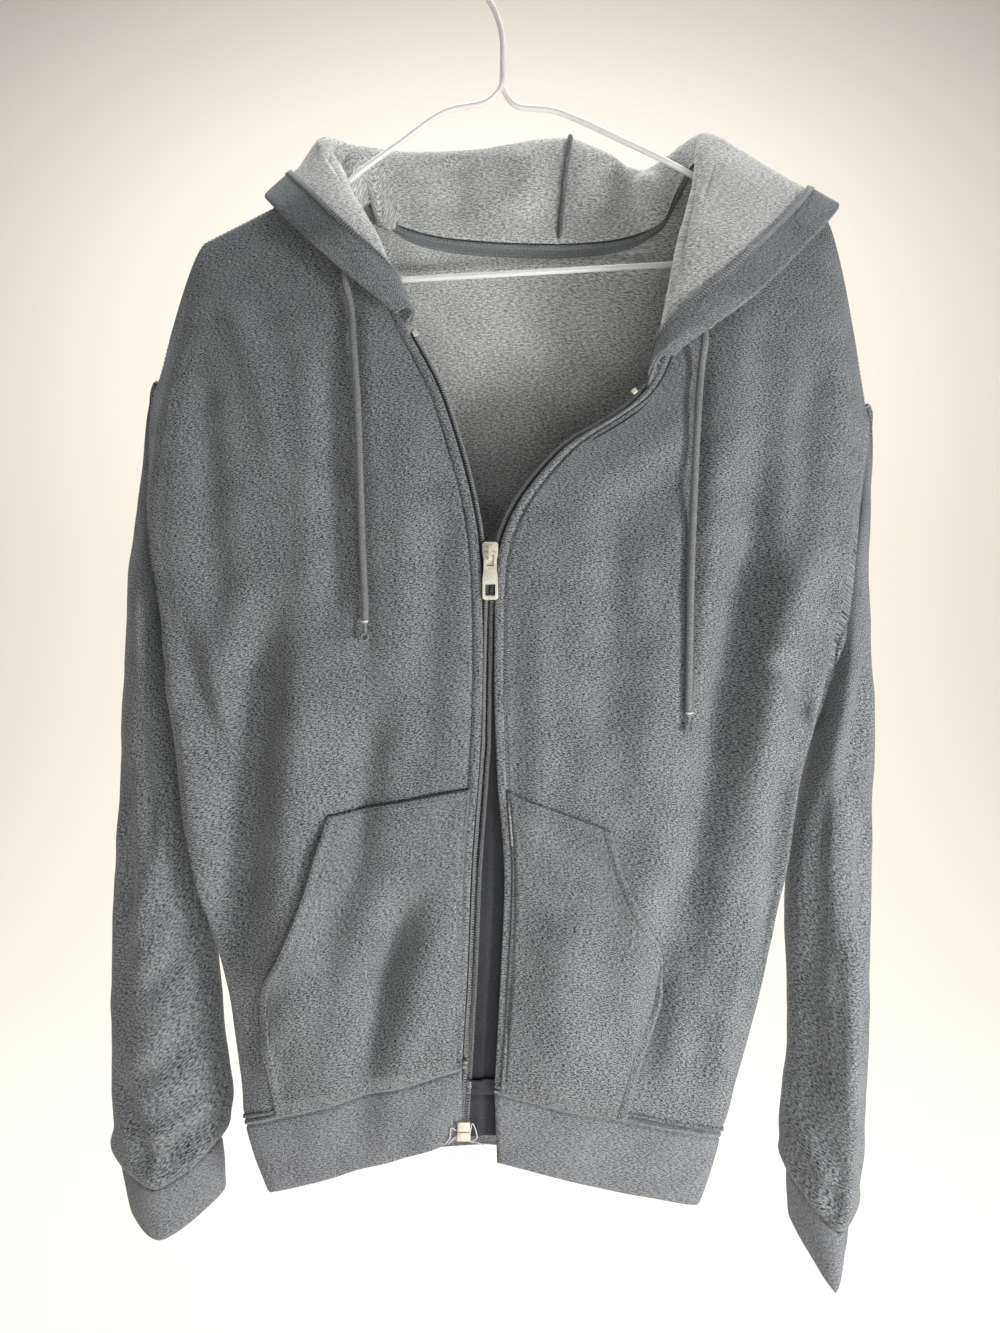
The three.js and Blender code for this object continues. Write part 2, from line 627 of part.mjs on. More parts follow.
function hoodPiece(side) {
  const rows = side === 'left' ? hoodLeftSections : hoodRightSections;
  return clothPiece('hood_' + side, neckSeam(side).map(({ point, spread }) => hoodSection(rows, point, spread)), {
    flip: side === 'left',
    sewn: [{ side: 'left', seam: 'neck' }, { side: 'first', seam: 'hood' }],
  });
}
drawSeam('neck', [...neckSeam('left').reverse(), ...neckSeam('right').slice(1)].map(({ point }) => point));
const hood = { left: hoodPiece('left'), right: hoodPiece('right') };
drawSeam('hood', hood.left.grid[0]);

const clothPieces = [
  front.left, front.right, back, sleeve.left, sleeve.right, cuff.left, cuff.right, rib, hood.left, hood.right,
];
clothPieces.forEach(measureSeams);

// At the armpits the panels' and the sleeve's outer sides face each other, so the seam runs up.
for (const side of ['left', 'right']) {
  const armpit = front[side].grid[armpitRow][frontColumnsToCrease + frontColumnsToSeam];
  seamSides.get(seamKey(armpit)).fixed = vector(0, 0, -1);
}
clothPieces.forEach(sewEdges);
clothPieces.forEach(addPiece);

// Sections of the same number of points, joined in order and closed by a fan at either end.
function sweepGeometry(sections) {
  const size = sections[0].length;
  const positions = sections.flat().flatMap((point) => [point.x, point.y, point.z]);
  const faces = [];
  for (let i = 0; i < sections.length - 1; i += 1) {
    for (let j = 0; j < size; j += 1) {
      const [a, b] = [i * size + j, i * size + ((j + 1) % size)];
      faces.push(a, b, b + size, a, b + size, a + size);
    }
  }
  return { positions, faces, size };
}

// A round cord or wire along a smooth line through the points.
function tubeGeometry(points, diameter, steps) {
  const path = new THREE.CatmullRomCurve3(points, false, 'centripetal');
  const { normals, binormals } = path.computeFrenetFrames(steps, false);
  const sides = 8;
  const sections = normals.map((normal, index) => {
    const centre = path.getPointAt(index / steps);
    return Array.from({ length: sides }, (_, side) => {
      const angle = (2 * Math.PI * side) / sides;
      return centre.clone()
        .addScaledVector(normal, (Math.cos(angle) * diameter) / 2)
        .addScaledVector(binormals[index], (Math.sin(angle) * diameter) / 2);
    });
  });
  const { positions, faces } = sweepGeometry(sections);
  const last = steps * sides;
  for (let side = 1; side < sides - 1; side += 1) {
    faces.push(0, side + 1, side);
    faces.push(last, last + side, last + side + 1);
  }
  return solidGeometry(positions, faces);
}

// The hanger: one wire from the hook's end down the neck, round the arms and the bar, and up to
// the twist. It passes inside the shoulders, below the shoulder seams.
const hangerWire = table('x y z',
  [17, 0, -33], [21, 0, -18], [14.8, 0, -3.8], [0, 0, wireDiameter / 2], [-14.8, 0, -3.8], [-20.5, 0, -18],
  [-15, 0, -32], [-2, 0, -45], [5, -0.5, -60], [8, -1.8, -76], [8, -2.6, -92], [7.5, -2.6, -108],
  [-3, -2.6, -121], [-35, -2.6, -129], [-72, -3.4, -155], [-98, -4.6, -174.5], [-114, -1, -185.5], [-165, 0, -210.5],
  [-192, 0, -224.4],
  [-203, 0, -233], [-207, 0, -245], [-202, 0, -256], [-188, 0, -260.5], [-76, 0, -254], [135, 0, -242],
  [222, 0, -237], [236, 0, -232], [241, 0, -222], [235, 0, -212.5], [222, 0, -205.5], [155, -1, -178.5],
  [138, -4.2, -171], [100, -2, -151.5], [48, 2.6, -126], [17, 2.6, -121], [8.5, 2.6, -108], [8, 2.6, -92], [8, 2.6, -76],
).map(({ x, y, z }) => vector(x, y, z));
addMesh('hanger', tubeGeometry(hangerWire, wireDiameter, 96), whiteCoat);

// The zip's closed chain hangs along this line, up to the slider. Above it the halves part.
const chainLine = table('x z', [-20, -880], [-17, -826], [-13, -755], [-10, -680], [-4, -600], [-2.5, -512], [-1, -475]);
const chainOpens = { from: -486, to: -452 };
const tapeFace = 3.4;
const coilFace = 0.8;
const coilWidth = 3.2;
const chainGap = 0.25;
const sinkAtTop = 1.3;

function chainCentre(z) {
  const above = chainLine.findIndex((row) => row.z > z);
  if (above < 0) return chainLine[chainLine.length - 1].x;
  const [low, high] = [chainLine[Math.max(0, above - 1)], chainLine[Math.max(1, above)]];
  return low.x + ((high.x - low.x) * Math.min(1, (z - low.z) / (high.z - low.z)));
}

// The stations of a panel's zip edge, from the foot of the rib to just below the zip's top.
function zipStations(side) {
  const ribColumn = side === 'left' ? 0 : rib.grid[0].length - 1;
  const { grid, normals } = front[side];
  const edge = [3, 2, 1].map((row) => ({ point: rib.grid[row][ribColumn], facing: rib.normals[row][ribColumn] }));
  const between = (row, share) => ({
    point: grid[row][0].clone().lerp(grid[row + 1][0], share),
    facing: row + 1 < zipTopRow ? normals[row][0].clone().lerp(normals[row + 1][0], share) : normals[row][0],
  });
  for (let row = 0; row < zipTopRow; row += 1) {
    edge.push(between(row, 0));
    if (levels[row] >= 3.6 && levels[row] < 5.8) edge.push(between(row, 0.5));
  }
  edge.push(between(zipTopRow - 1, 0.85));
  return edge.map(({ point, facing }, index) => {
    const along = edge[Math.min(edge.length - 1, index + 1)].point.clone();
    along.sub(edge[Math.max(0, index - 1)].point).normalize();
    const outward = facing.clone().addScaledVector(along, -facing.dot(along)).normalize();
    const across = along.clone().cross(outward).normalize();
    if ((side === 'left') !== across.x > 0) across.negate();
    const closed = Math.abs(chainCentre(point.z) - point.x) / Math.abs(across.x) - chainGap;
    const open = chainEdge - 0.15;
    const opening = THREE.MathUtils.smoothstep(point.z, chainOpens.from, chainOpens.to);
    const sunk = index >= edge.length - 2 ? sinkAtTop : 0;
    const place = point.clone().addScaledVector(outward, -sunk).addScaledVector(across, sunk);
    return { point: place, along, outward, across, reach: closed + (open - closed) * opening };
  });
}
const zip = { left: zipStations('left'), right: zipStations('right') };

function zipTapeGeometry(side) {
  const sections = zip[side].map(({ point, outward, across, reach }) => {
    const corner = (over, depth) => point.clone().addScaledVector(across, over).addScaledVector(outward, -depth);
    const tapeBack = tapeFace + tapeWall;
    const coilStart = Math.max(reach - coilWidth, 0.45);
    return [
      corner(-tapeHidden, tapeBack), corner(-tapeHidden, tapeFace),
      corner(coilStart, tapeFace), corner(coilStart, coilFace),
      corner(reach, coilFace), corner(reach, tapeBack),
    ];
  });
  const { positions, faces, size } = sweepGeometry(sections);
  const last = (sections.length - 1) * size;
  for (const [a, b, c] of [[0, 1, 2], [0, 2, 5], [2, 3, 4], [2, 4, 5]]) {
    faces.push(a, c, b);
    faces.push(last + a, last + b, last + c);
  }
  if (side === 'right') faces.reverse();
  return solidGeometry(positions, faces);
}
addMesh('zip_tape_left', zipTapeGeometry('left'), coil);
addMesh('zip_tape_right', zipTapeGeometry('right'), coil);

// A small block on the coil's face at a station, set off from the coil by the seam's gap.
function blockOnCoil(station, { width, length, height, over, lift = 0 }) {
  const { point, along, outward, across } = station;
  const geometry = new THREE.BoxGeometry(width, length, height);
  const upright = across.clone().cross(along).dot(outward) > 0 ? across.clone() : across.clone().negate();
  geometry.applyMatrix4(new THREE.Matrix4().makeBasis(upright, along, outward));
  const depth = coilFace - seamGap - lift - height / 2;
  const centre = point.clone().addScaledVector(across, over).addScaledVector(outward, -depth);
  return geometry.translate(centre.x, centre.y, centre.z);
}
for (const side of ['left', 'right']) {
  const top = zip[side][zip[side].length - 1];
  const lower = { ...top, point: top.point.clone().addScaledVector(top.along, -3) };
  addMesh('top_stop_' + side, blockOnCoil(lower, { width: 3.6, length: 4, height: 1.6, over: top.reach - 1.6 }), nickel);
}
const zipFoot = zip.left[0];
const boxStation = { ...zipFoot, point: zipFoot.point.clone().addScaledVector(zipFoot.along, 7) };
addMesh('zip_box', blockOnCoil(boxStation, { width: 8.6, length: 13, height: 2.2, over: zipFoot.reach, lift: 1.1 }), nickel);

// The slider: a front plate with a bridge, a post between the coils and a back plate.
const sliderTop = { x: -1, z: -454 };
const slider = { width: 11.4, length: 17, plate: 1.6, coilClear: 0.4, bridgeWidth: 3, bridgeBar: 1.4, bridgeHeight: 3.3 };
const pullTab = { width: 9.4, footWidth: 11.2, length: 33, thickness: 1.4, hingeDrop: 8.5, rail: 2.1, head: 1.6 };
const edgeDepth = (z) => {
  const index = zip.left.findIndex(({ point }) => point.z > z);
  const [low, high] = [zip.left[index - 1].point, zip.left[index].point];
  return low.y + ((high.y - low.y) * (z - low.z)) / (high.z - low.z);
};
const plateBack = edgeDepth(sliderTop.z - slider.length) + coilFace - slider.coilClear;
const plateFront = plateBack - slider.plate;
const tapeBehind = edgeDepth(sliderTop.z) + tapeFace + tapeWall + slider.coilClear;
const hinge = vector(sliderTop.x, plateFront - slider.bridgeHeight / 2, sliderTop.z - pullTab.hingeDrop);

const wasm = await Module();
wasm.setup();
function block(x0, x1, y0, y1, z0, z1) {
  return wasm.Manifold.cube([x1 - x0, y1 - y0, z1 - z0]).translate([x0, y0, z0]);
}
function plateShape(top, foot, length, y0, y1) {
  const outline = [
    [-foot / 2, -length], [foot / 2, -length], [top / 2, -length * 0.45], [top / 2, -1.5], [top / 2 - 1.5, 0],
    [-top / 2 + 1.5, 0], [-top / 2, -1.5], [-top / 2, -length * 0.45],
  ];
  const solid = wasm.Manifold.extrude([outline], y1 - y0).rotate([90, 0, 0]);
  return solid.translate([sliderTop.x, y1, sliderTop.z]);
}
const sliderParts = [
  plateShape(slider.width, 8, slider.length, plateFront, plateBack),
  plateShape(slider.width, 8, slider.length, tapeBehind, tapeBehind + 1.2),
  block(sliderTop.x - 1.2, sliderTop.x + 0.8, plateBack - 0.5, tapeBehind + 0.5, sliderTop.z - 5, sliderTop.z - 1),
  block(sliderTop.x - slider.bridgeWidth / 2, sliderTop.x + slider.bridgeWidth / 2,
    plateFront - slider.bridgeHeight - slider.bridgeBar, plateFront + 0.2,
    sliderTop.z - pullTab.hingeDrop - 5, sliderTop.z - pullTab.hingeDrop + 5),
];
const bridgeHole = block(sliderTop.x - slider.bridgeWidth, sliderTop.x + slider.bridgeWidth,
  plateFront - slider.bridgeHeight, plateFront,
  sliderTop.z - pullTab.hingeDrop - 3.5, sliderTop.z - pullTab.hingeDrop + 3.5);
const sliderSolid = wasm.Manifold.union(sliderParts).subtract(bridgeHole).getMesh();
addMesh('zip_slider', solidGeometry(Array.from(sliderSolid.vertProperties), Array.from(sliderSolid.triVerts)), nickel);

// The pull tab hangs from the bridge by its head and has a window near its foot.
const tabOutline = [
  [-pullTab.footWidth / 2, -pullTab.length + 1], [-pullTab.footWidth / 2 + 1.5, -pullTab.length],
  [pullTab.footWidth / 2 - 1.5, -pullTab.length], [pullTab.footWidth / 2, -pullTab.length + 1],
  [pullTab.footWidth / 2, -18], [pullTab.width / 2, -12], [pullTab.width / 2, 0.9],
  [-pullTab.width / 2, 0.9], [-pullTab.width / 2, -12], [-pullTab.footWidth / 2, -18],
];
const windowOutline = (x, low, high) => [[-x, low], [-x, high], [x, high], [x, low]];
const tabSolid = wasm.Manifold.extrude([
  tabOutline,
  windowOutline(pullTab.width / 2 - pullTab.rail, -9, 0.9 - pullTab.head),
  windowOutline(pullTab.footWidth / 2 - pullTab.rail, -pullTab.length + 3, -pullTab.length + 11),
], pullTab.thickness).rotate([90, 0, 0]).translate([hinge.x, hinge.y + pullTab.thickness / 2, hinge.z]).getMesh();
addMesh('pull_tab', solidGeometry(Array.from(tabSolid.vertProperties), Array.from(tabSolid.triVerts)), nickel);

// A patch on a front panel: its outline is in shares of the width to the crease and in levels,
// and its facets are the panel's own, moved out, so that it lies on every fold.
function patchGeometry(piece, outline, lift, wall) {
  const points = [];
  const normals = [];
  const known = new Map();
  const faces = [];
  const vertexAt = (uv, corners) => {
    const key = uv.map((value) => Math.round(value * 1e5)).join(',');
    if (!known.has(key)) {
      const [[u0, v0], [u1, v1], [u2, v2]] = corners.map(({ at }) => at);
      const area = (u1 - u0) * (v2 - v0) - (u2 - u0) * (v1 - v0);
      const second = ((uv[0] - u0) * (v2 - v0) - (u2 - u0) * (uv[1] - v0)) / area;
      const third = ((u1 - u0) * (uv[1] - v0) - (uv[0] - u0) * (v1 - v0)) / area;
      const weights = [1 - second - third, second, third];
      const mixed = (name) => corners.reduce(
        (sum, corner, index) => sum.addScaledVector(corner[name], weights[index]), vector(0, 0, 0),
      );
      known.set(key, points.length);
      points.push(mixed('point'));
      normals.push(mixed('normal'));
    }
    return known.get(key);
  };
  for (let i = 0; i < piece.grid.length - 1; i += 1) {
    for (let j = 0; j < frontColumnsToCrease; j += 1) {
      const corner = (row, column) => ({
        at: [column / frontColumnsToCrease, levels[row]], point: piece.grid[row][column], normal: piece.normals[row][column],
      });
      const [a, b, c, d] = [corner(i, j), corner(i, j + 1), corner(i + 1, j + 1), corner(i + 1, j)];
      for (const corners of [[a, b, c], [a, c, d]]) {
        let polygon = outline;
        corners.forEach(({ at: start }, index) => {
          const { at: end } = corners[(index + 1) % 3];
          const inside = ([u, v]) => (end[0] - start[0]) * (v - start[1]) - (end[1] - start[1]) * (u - start[0]);
          const kept = [];
          polygon.forEach((from, place) => {
            const to = polygon[(place + 1) % polygon.length];
            const [here, there] = [inside(from), inside(to)];
            if (here >= 0) kept.push(from);
            if (here * there < 0) {
              const share = here / (here - there);
              kept.push([from[0] + share * (to[0] - from[0]), from[1] + share * (to[1] - from[1])]);
            }
          });
          polygon = kept;
        });
        if (polygon.length < 3) continue;
        const indices = polygon.map((uv) => vertexAt(uv, corners));
        const contour = polygon.map(([u, v]) => new THREE.Vector2(u, v));
        if (Math.abs(THREE.ShapeUtils.area(contour)) < 1e-7) continue;
        for (const [p, q, r] of THREE.ShapeUtils.triangulateShape(contour, [])) {
          const turn = THREE.ShapeUtils.area([contour[p], contour[q], contour[r]]);
          const triangle = turn > 0 ? [indices[p], indices[q], indices[r]] : [indices[p], indices[r], indices[q]];
          if (new Set(triangle).size === 3) faces.push(triangle);
        }
      }
    }
  }
  return shellGeometry(
    points.map((point, index) => point.clone().addScaledVector(normals[index], lift + wall)),
    points.map((point, index) => point.clone().addScaledVector(normals[index], lift)),
    piece.flip ? faces.map(([p, q, r]) => [p, r, q]) : faces,
  );
}

// A closed wall from outer and inner points that share the same facets.
function shellGeometry(outer, inner, triangles) {
  const count = outer.length;
  const faces = triangles.flatMap(([a, b, c]) => [a, b, c, a + count, c + count, b + count]);
  const edges = new Set(triangles.flatMap(([a, b, c]) => [a + ',' + b, b + ',' + c, c + ',' + a]));
  for (const edge of edges) {
    const [a, b] = edge.split(',').map(Number);
    if (!edges.has(b + ',' + a)) faces.push(a, a + count, b + count, a, b + count, b);
  }
  return solidGeometry([...outer, ...inner].flatMap((point) => [point.x, point.y, point.z]), faces);
}

// The patch pockets, from the zip to the slanted hand opening and the side.
const pocketOutlines = {
  left: [
    [0.025, 0.03], [0.82, 0.03], [0.835, 0.4], [0.83, 1], [0.71, 1.35], [0.6, 1.8], [0.53, 2.2], [0.49, 2.45],
    [0.025, 2.64],
  ],
  right: [
    [0.025, 0.03], [0.56, 0.03], [0.58, 0.5], [0.62, 1.1], [0.5, 1.6], [0.4, 2.05], [0.36, 2.45], [0.025, 2.85],
  ],
};
for (const side of ['left', 'right']) {
  addMesh('pocket_' + side, patchGeometry(front[side], pocketOutlines[side], pocketLift, fleeceWall), jersey);
}

// The tape over the inside of the back neck seam.
function neckTapeRow(low, high, share, depth) {
  const columns = back.grid[low].map((_, index) => index).slice(backNeckColumn + 1, backLastColumn - backNeckColumn);
  return columns.map((column) => {
    const normal = back.normals[low][column].clone().lerp(back.normals[high][column], share);
    return back.grid[low][column].clone().lerp(back.grid[high][column], share).addScaledVector(normal, -depth);
  });
}
const topRowIndex = levels.length - 1;
const neckTapeSpans = [[topRowIndex - 2, topRowIndex - 1, 0.55], [topRowIndex - 1, topRowIndex, 0], [topRowIndex - 1, topRowIndex, 0.75]];
const neckTapeNear = fleeceWall + 0.35;
addMesh('neck_tape', wallGeometry(
  neckTapeSpans.map(([low, high, share]) => neckTapeRow(low, high, share, neckTapeNear)),
  neckTapeSpans.map(([low, high, share]) => neckTapeRow(low, high, share, neckTapeNear + tapeWall)),
  false, back.flip,
), darkTape);

// The eyelets stand on the outer face of the hood's hem, which lies towards the fronts.
function hoodPlace(side, row, column) {
  const { grid, normals } = hood[side];
  const [i, j] = [Math.floor(row), Math.floor(column)];
  const mix = (cells) => cells[i][j].clone().lerp(cells[i][j + 1], column - j)
    .lerp(cells[i + 1][j].clone().lerp(cells[i + 1][j + 1], column - j), row - i);
  return { point: mix(grid), normal: mix(normals).normalize() };
}
const eyeletTube = 1.4;
const eyeletPlaces = { left: hoodPlace('left', 9.75, 12), right: hoodPlace('right', 10.1, 12) };
for (const side of ['left', 'right']) {
  const { point, normal } = eyeletPlaces[side];
  const ring = new THREE.TorusGeometry(eyeletDiameter / 2 - eyeletTube, eyeletTube, 6, 20).scale(1, 1, 0.5);
  ring.applyQuaternion(new THREE.Quaternion().setFromUnitVectors(vector(0, 0, 1), normal));
  const centre = point.clone().addScaledVector(normal, eyeletTube / 2 + 0.9);
  ring.translate(centre.x, centre.y, centre.z);
  addMesh('eyelet_' + side, ring, nickel);
}

// How far forward the front panel stands at a place in the front view.
function frontDepth(side, x, z) {
  const { grid } = front[side];
  for (let i = 0; i < grid.length - 1; i += 1) {
    for (let j = 0; j < frontColumnsToCrease; j += 1) {
      const [a, b, c, d] = [grid[i][j], grid[i][j + 1], grid[i + 1][j + 1], grid[i + 1][j]];
      for (const [p, q, r] of [[a, b, c], [a, c, d]]) {
        const area = (q.x - p.x) * (r.z - p.z) - (r.x - p.x) * (q.z - p.z);
        const second = ((x - p.x) * (r.z - p.z) - (r.x - p.x) * (z - p.z)) / area;
        const third = ((q.x - p.x) * (z - p.z) - (x - p.x) * (q.z - p.z)) / area;
        if (Math.min(second, third, 1 - second - third) >= 0) return p.y + second * (q.y - p.y) + third * (r.y - p.y);
      }
    }
  }
  return 0;
}

// The drawcord's two free ends come out of the eyelets and hang in front of the panels.
const drawcordPaths = {
  left: table('x z', [-101, -285], [-99, -310], [-96, -350], [-94, -399], [-92, -459], [-90, -500], [-90, -525]),
  right: table('x z', [150, -330], [148, -350], [146, -385], [144, -429], [142, -480], [141, -530], [140, -588]),
};
const cordClear = drawcordDiameter / 2 + 0.9;
function drawcordGeometry(side) {
  const { point, normal } = eyeletPlaces[side];
  const out = (distance, drop) => point.clone().addScaledVector(normal, distance).add(vector(0, 0, -drop));
  const start = [out(3.6, 0), out(5.6, 1.2), out(7.2, 6), out(7, 14)];
  const hanging = drawcordPaths[side].map(({ x, z }) => {
    const around = [-6, 0, 6].flatMap((dx) => [-14, 0, 14].map((dz) => frontDepth(side, x + dx, z + dz)));
    return vector(x, Math.min(...around) - cordClear, z);
  });
  return tubeGeometry([...start, ...hanging], drawcordDiameter, 34);
}
addMesh('drawcord_left', drawcordGeometry('left'), braid);
addMesh('drawcord_right', drawcordGeometry('right'), braid);

export default garment;
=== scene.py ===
# A half-zipped hooded sweatshirt on a white wire hanger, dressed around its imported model.
import math

import bmesh
import bpy
import numpy as np
from mathutils import Matrix, Vector, noise
from mathutils.bvhtree import BVHTree


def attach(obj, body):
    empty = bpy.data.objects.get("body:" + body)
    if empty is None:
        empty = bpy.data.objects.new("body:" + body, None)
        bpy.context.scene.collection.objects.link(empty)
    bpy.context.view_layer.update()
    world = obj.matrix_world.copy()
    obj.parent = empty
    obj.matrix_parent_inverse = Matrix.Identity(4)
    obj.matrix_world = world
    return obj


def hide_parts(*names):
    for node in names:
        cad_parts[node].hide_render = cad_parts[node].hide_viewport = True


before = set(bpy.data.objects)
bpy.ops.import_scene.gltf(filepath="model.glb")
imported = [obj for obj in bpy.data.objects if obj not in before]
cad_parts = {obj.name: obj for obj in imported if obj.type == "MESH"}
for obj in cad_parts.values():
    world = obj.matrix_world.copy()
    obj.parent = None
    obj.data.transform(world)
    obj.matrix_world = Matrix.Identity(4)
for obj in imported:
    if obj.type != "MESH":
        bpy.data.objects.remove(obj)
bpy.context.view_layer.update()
mm = 0.001

# Camera first: level, as the picture was taken
camera = {"place": (0.006, -0.750, -0.543), "lens": 26.0, "sensor": 34.6}
cameraData = bpy.data.cameras.new("camera")
cameraData.lens = camera["lens"]
cameraData.sensor_fit = "VERTICAL"
cameraData.sensor_height = camera["sensor"]
cameraObject = bpy.data.objects.new("camera", cameraData)
cameraObject.location = camera["place"]
cameraObject.rotation_euler = (math.radians(90), 0, 0)
bpy.context.collection.objects.link(cameraObject)
bpy.context.scene.camera = cameraObject


# Materials
def newGroup(name, inputs, outputs):
    group = bpy.data.node_groups.new(name, "ShaderNodeTree")
    for label, kind, value in inputs:
        socket = group.interface.new_socket(name=label, in_out="INPUT", socket_type=kind)
        socket.default_value = value
    for label, kind in outputs:
        group.interface.new_socket(name=label, in_out="OUTPUT", socket_type=kind)
    return group, group.nodes, group.links, group.nodes.new("NodeGroupInput"), group.nodes.new("NodeGroupOutput")


def mathNode(nodes, links, operation, first, second=None, third=None):
    node = nodes.new("ShaderNodeMath")
    node.operation = operation
    for index, value in enumerate((first, second, third)):
        if value is None:
            continue
        if isinstance(value, (int, float)):
            node.inputs[index].default_value = value
        else:
            links.new(value, node.inputs[index])
    return node.outputs[0]


def mixColour(nodes, links, share, first, second, blend="MIX"):
    node = nodes.new("ShaderNodeMix")
    node.data_type = "RGBA"
    node.blend_type = blend
    for socket, value in ((node.inputs[0], share), (node.inputs[6], first), (node.inputs[7], second)):
        if isinstance(value, (int, float, tuple)):
            socket.default_value = value
        else:
            links.new(value, socket)
    return node.outputs[2]


def noiseNode(nodes, links, vector, scale, detail=2.0, roughness=0.5, distortion=0.0):
    node = nodes.new("ShaderNodeTexNoise")
    node.inputs["Scale"].default_value = scale
    node.inputs["Detail"].default_value = detail
    node.inputs["Roughness"].default_value = roughness
    node.inputs["Distortion"].default_value = distortion
    links.new(vector, node.inputs["Vector"])
    return node.outputs["Fac"]


def stretched(nodes, links, vector, scale):
    node = nodes.new("ShaderNodeMapping")
    node.inputs["Scale"].default_value = scale
    links.new(vector, node.inputs["Vector"])
    return node.outputs["Vector"]


def ramp(nodes, links, value, low, high):
    node = nodes.new("ShaderNodeMapRange")
    node.interpolation_type = "SMOOTHSTEP"
    node.inputs["From Min"].default_value = low
    node.inputs["From Max"].default_value = high
    links.new(value, node.inputs["Value"])
    return node.outputs["Result"]


# The melange of pale and dark fibres that runs across the cloth. The vector is in millimetres.
def heatherGroup():
    group, nodes, links, given, out = newGroup("heather", [
        ("Vector", "NodeSocketVector", (0, 0, 0)), ("Dark", "NodeSocketColor", (0.1, 0.1, 0.1, 1)),
        ("Pale", "NodeSocketColor", (0.3, 0.3, 0.3, 1)), ("Mottle", "NodeSocketFloat", 1.0), ("Grain", "NodeSocketFloat", 1.0),
    ], [("Color", "NodeSocketColor"), ("Height", "NodeSocketFloat")])
    scaled = nodes.new("ShaderNodeVectorMath")
    scaled.operation = "SCALE"
    links.new(given.outputs["Vector"], scaled.inputs[0])
    links.new(given.outputs["Grain"], scaled.inputs["Scale"])
    vector = scaled.outputs[0]
    streak = noiseNode(nodes, links, stretched(nodes, links, vector, (0.32, 1.10, 1)), 1.0, 3.0, 0.65)
    speck = noiseNode(nodes, links, stretched(nodes, links, vector, (0.62, 0.82, 1)), 1.0, 3.0, 0.7)
    cloud = noiseNode(nodes, links, vector, 0.022, 3.0, 0.55)
    both = mathNode(nodes, links, "ADD", mathNode(nodes, links, "MULTIPLY", streak, 0.55), mathNode(nodes, links, "MULTIPLY", speck, 0.45))
    sharp = mathNode(nodes, links, "MULTIPLY_ADD", mathNode(nodes, links, "SUBTRACT", both, 0.5), 7.0, 0.5)
    spread = mathNode(nodes, links, "MULTIPLY_ADD", mathNode(nodes, links, "SUBTRACT", sharp, 0.5), given.outputs["Mottle"], 0.5)
    soft = mathNode(nodes, links, "MULTIPLY_ADD", mathNode(nodes, links, "SUBTRACT", cloud, 0.5), 0.5, spread)
    clamped = nodes.new("ShaderNodeClamp")
    links.new(soft, clamped.inputs[0])
    links.new(mixColour(nodes, links, clamped.outputs[0], given.outputs["Dark"], given.outputs["Pale"]), out.inputs["Color"])
    links.new(both, out.inputs["Height"])
    return group


# Rows of knitted loops: wales up the cloth, courses across. The vector is in millimetres.
def knitGroup():
    group, nodes, links, given, out = newGroup("knit", [
        ("Vector", "NodeSocketVector", (0, 0, 0)), ("Wale", "NodeSocketFloat", 0.85), ("Course", "NodeSocketFloat", 0.6),
    ], [("Height", "NodeSocketFloat")])
    parts = nodes.new("ShaderNodeSeparateXYZ")
    wander = noiseNode(nodes, links, given.outputs["Vector"], 0.5, 1.0)
    links.new(given.outputs["Vector"], parts.inputs[0])
    across = mathNode(nodes, links, "DIVIDE", parts.outputs[0], given.outputs["Wale"])
    along = mathNode(nodes, links, "DIVIDE", parts.outputs[1], given.outputs["Course"])
    across = mathNode(nodes, links, "MULTIPLY_ADD", wander, 0.8, across)
    wave = mathNode(nodes, links, "PINGPONG", across, 0.5)
    slant = mathNode(nodes, links, "ADD", along, wave)
    wale = mathNode(nodes, links, "SINE", mathNode(nodes, links, "MULTIPLY", wave, math.pi * 2))
    course = mathNode(nodes, links, "SINE", mathNode(nodes, links, "MULTIPLY", slant, math.pi * 2))
    height = mathNode(nodes, links, "MULTIPLY_ADD", course, 0.4, wale)
    links.new(height, out.inputs["Height"])
    return group


heather = heatherGroup()
knit = knitGroup()


def linear(colour):
    return tuple(((c / 255) / 12.92 if c / 255 <= 0.04045 else ((c / 255 + 0.055) / 1.055) ** 2.4) for c in colour) + (1,)


def newMaterial(name):
    material = bpy.data.materials.new(name)
    material.use_nodes = True
    nodes, links = material.node_tree.nodes, material.node_tree.links
    return material, nodes, links, nodes["Principled BSDF"]


def placeGroup(nodes, group):
    node = nodes.new("ShaderNodeGroup")
    node.node_tree = group
    return node


def bumpInto(nodes, links, shader, height, strength, distance):
    bump = nodes.new("ShaderNodeBump")
    bump.inputs["Strength"].default_value = strength
    bump.inputs["Distance"].default_value = distance
    links.new(height, bump.inputs["Height"])
    links.new(bump.outputs["Normal"], shader.inputs["Normal"])


# The piece's UV map is in metres along the cloth, so a thousand of them is millimetres.
def clothVector(nodes, links):
    uv = nodes.new("ShaderNodeUVMap")
    uv.uv_map = "UVMap"
    return stretched(nodes, links, uv.outputs["UV"], (1000, 1000, 1000))


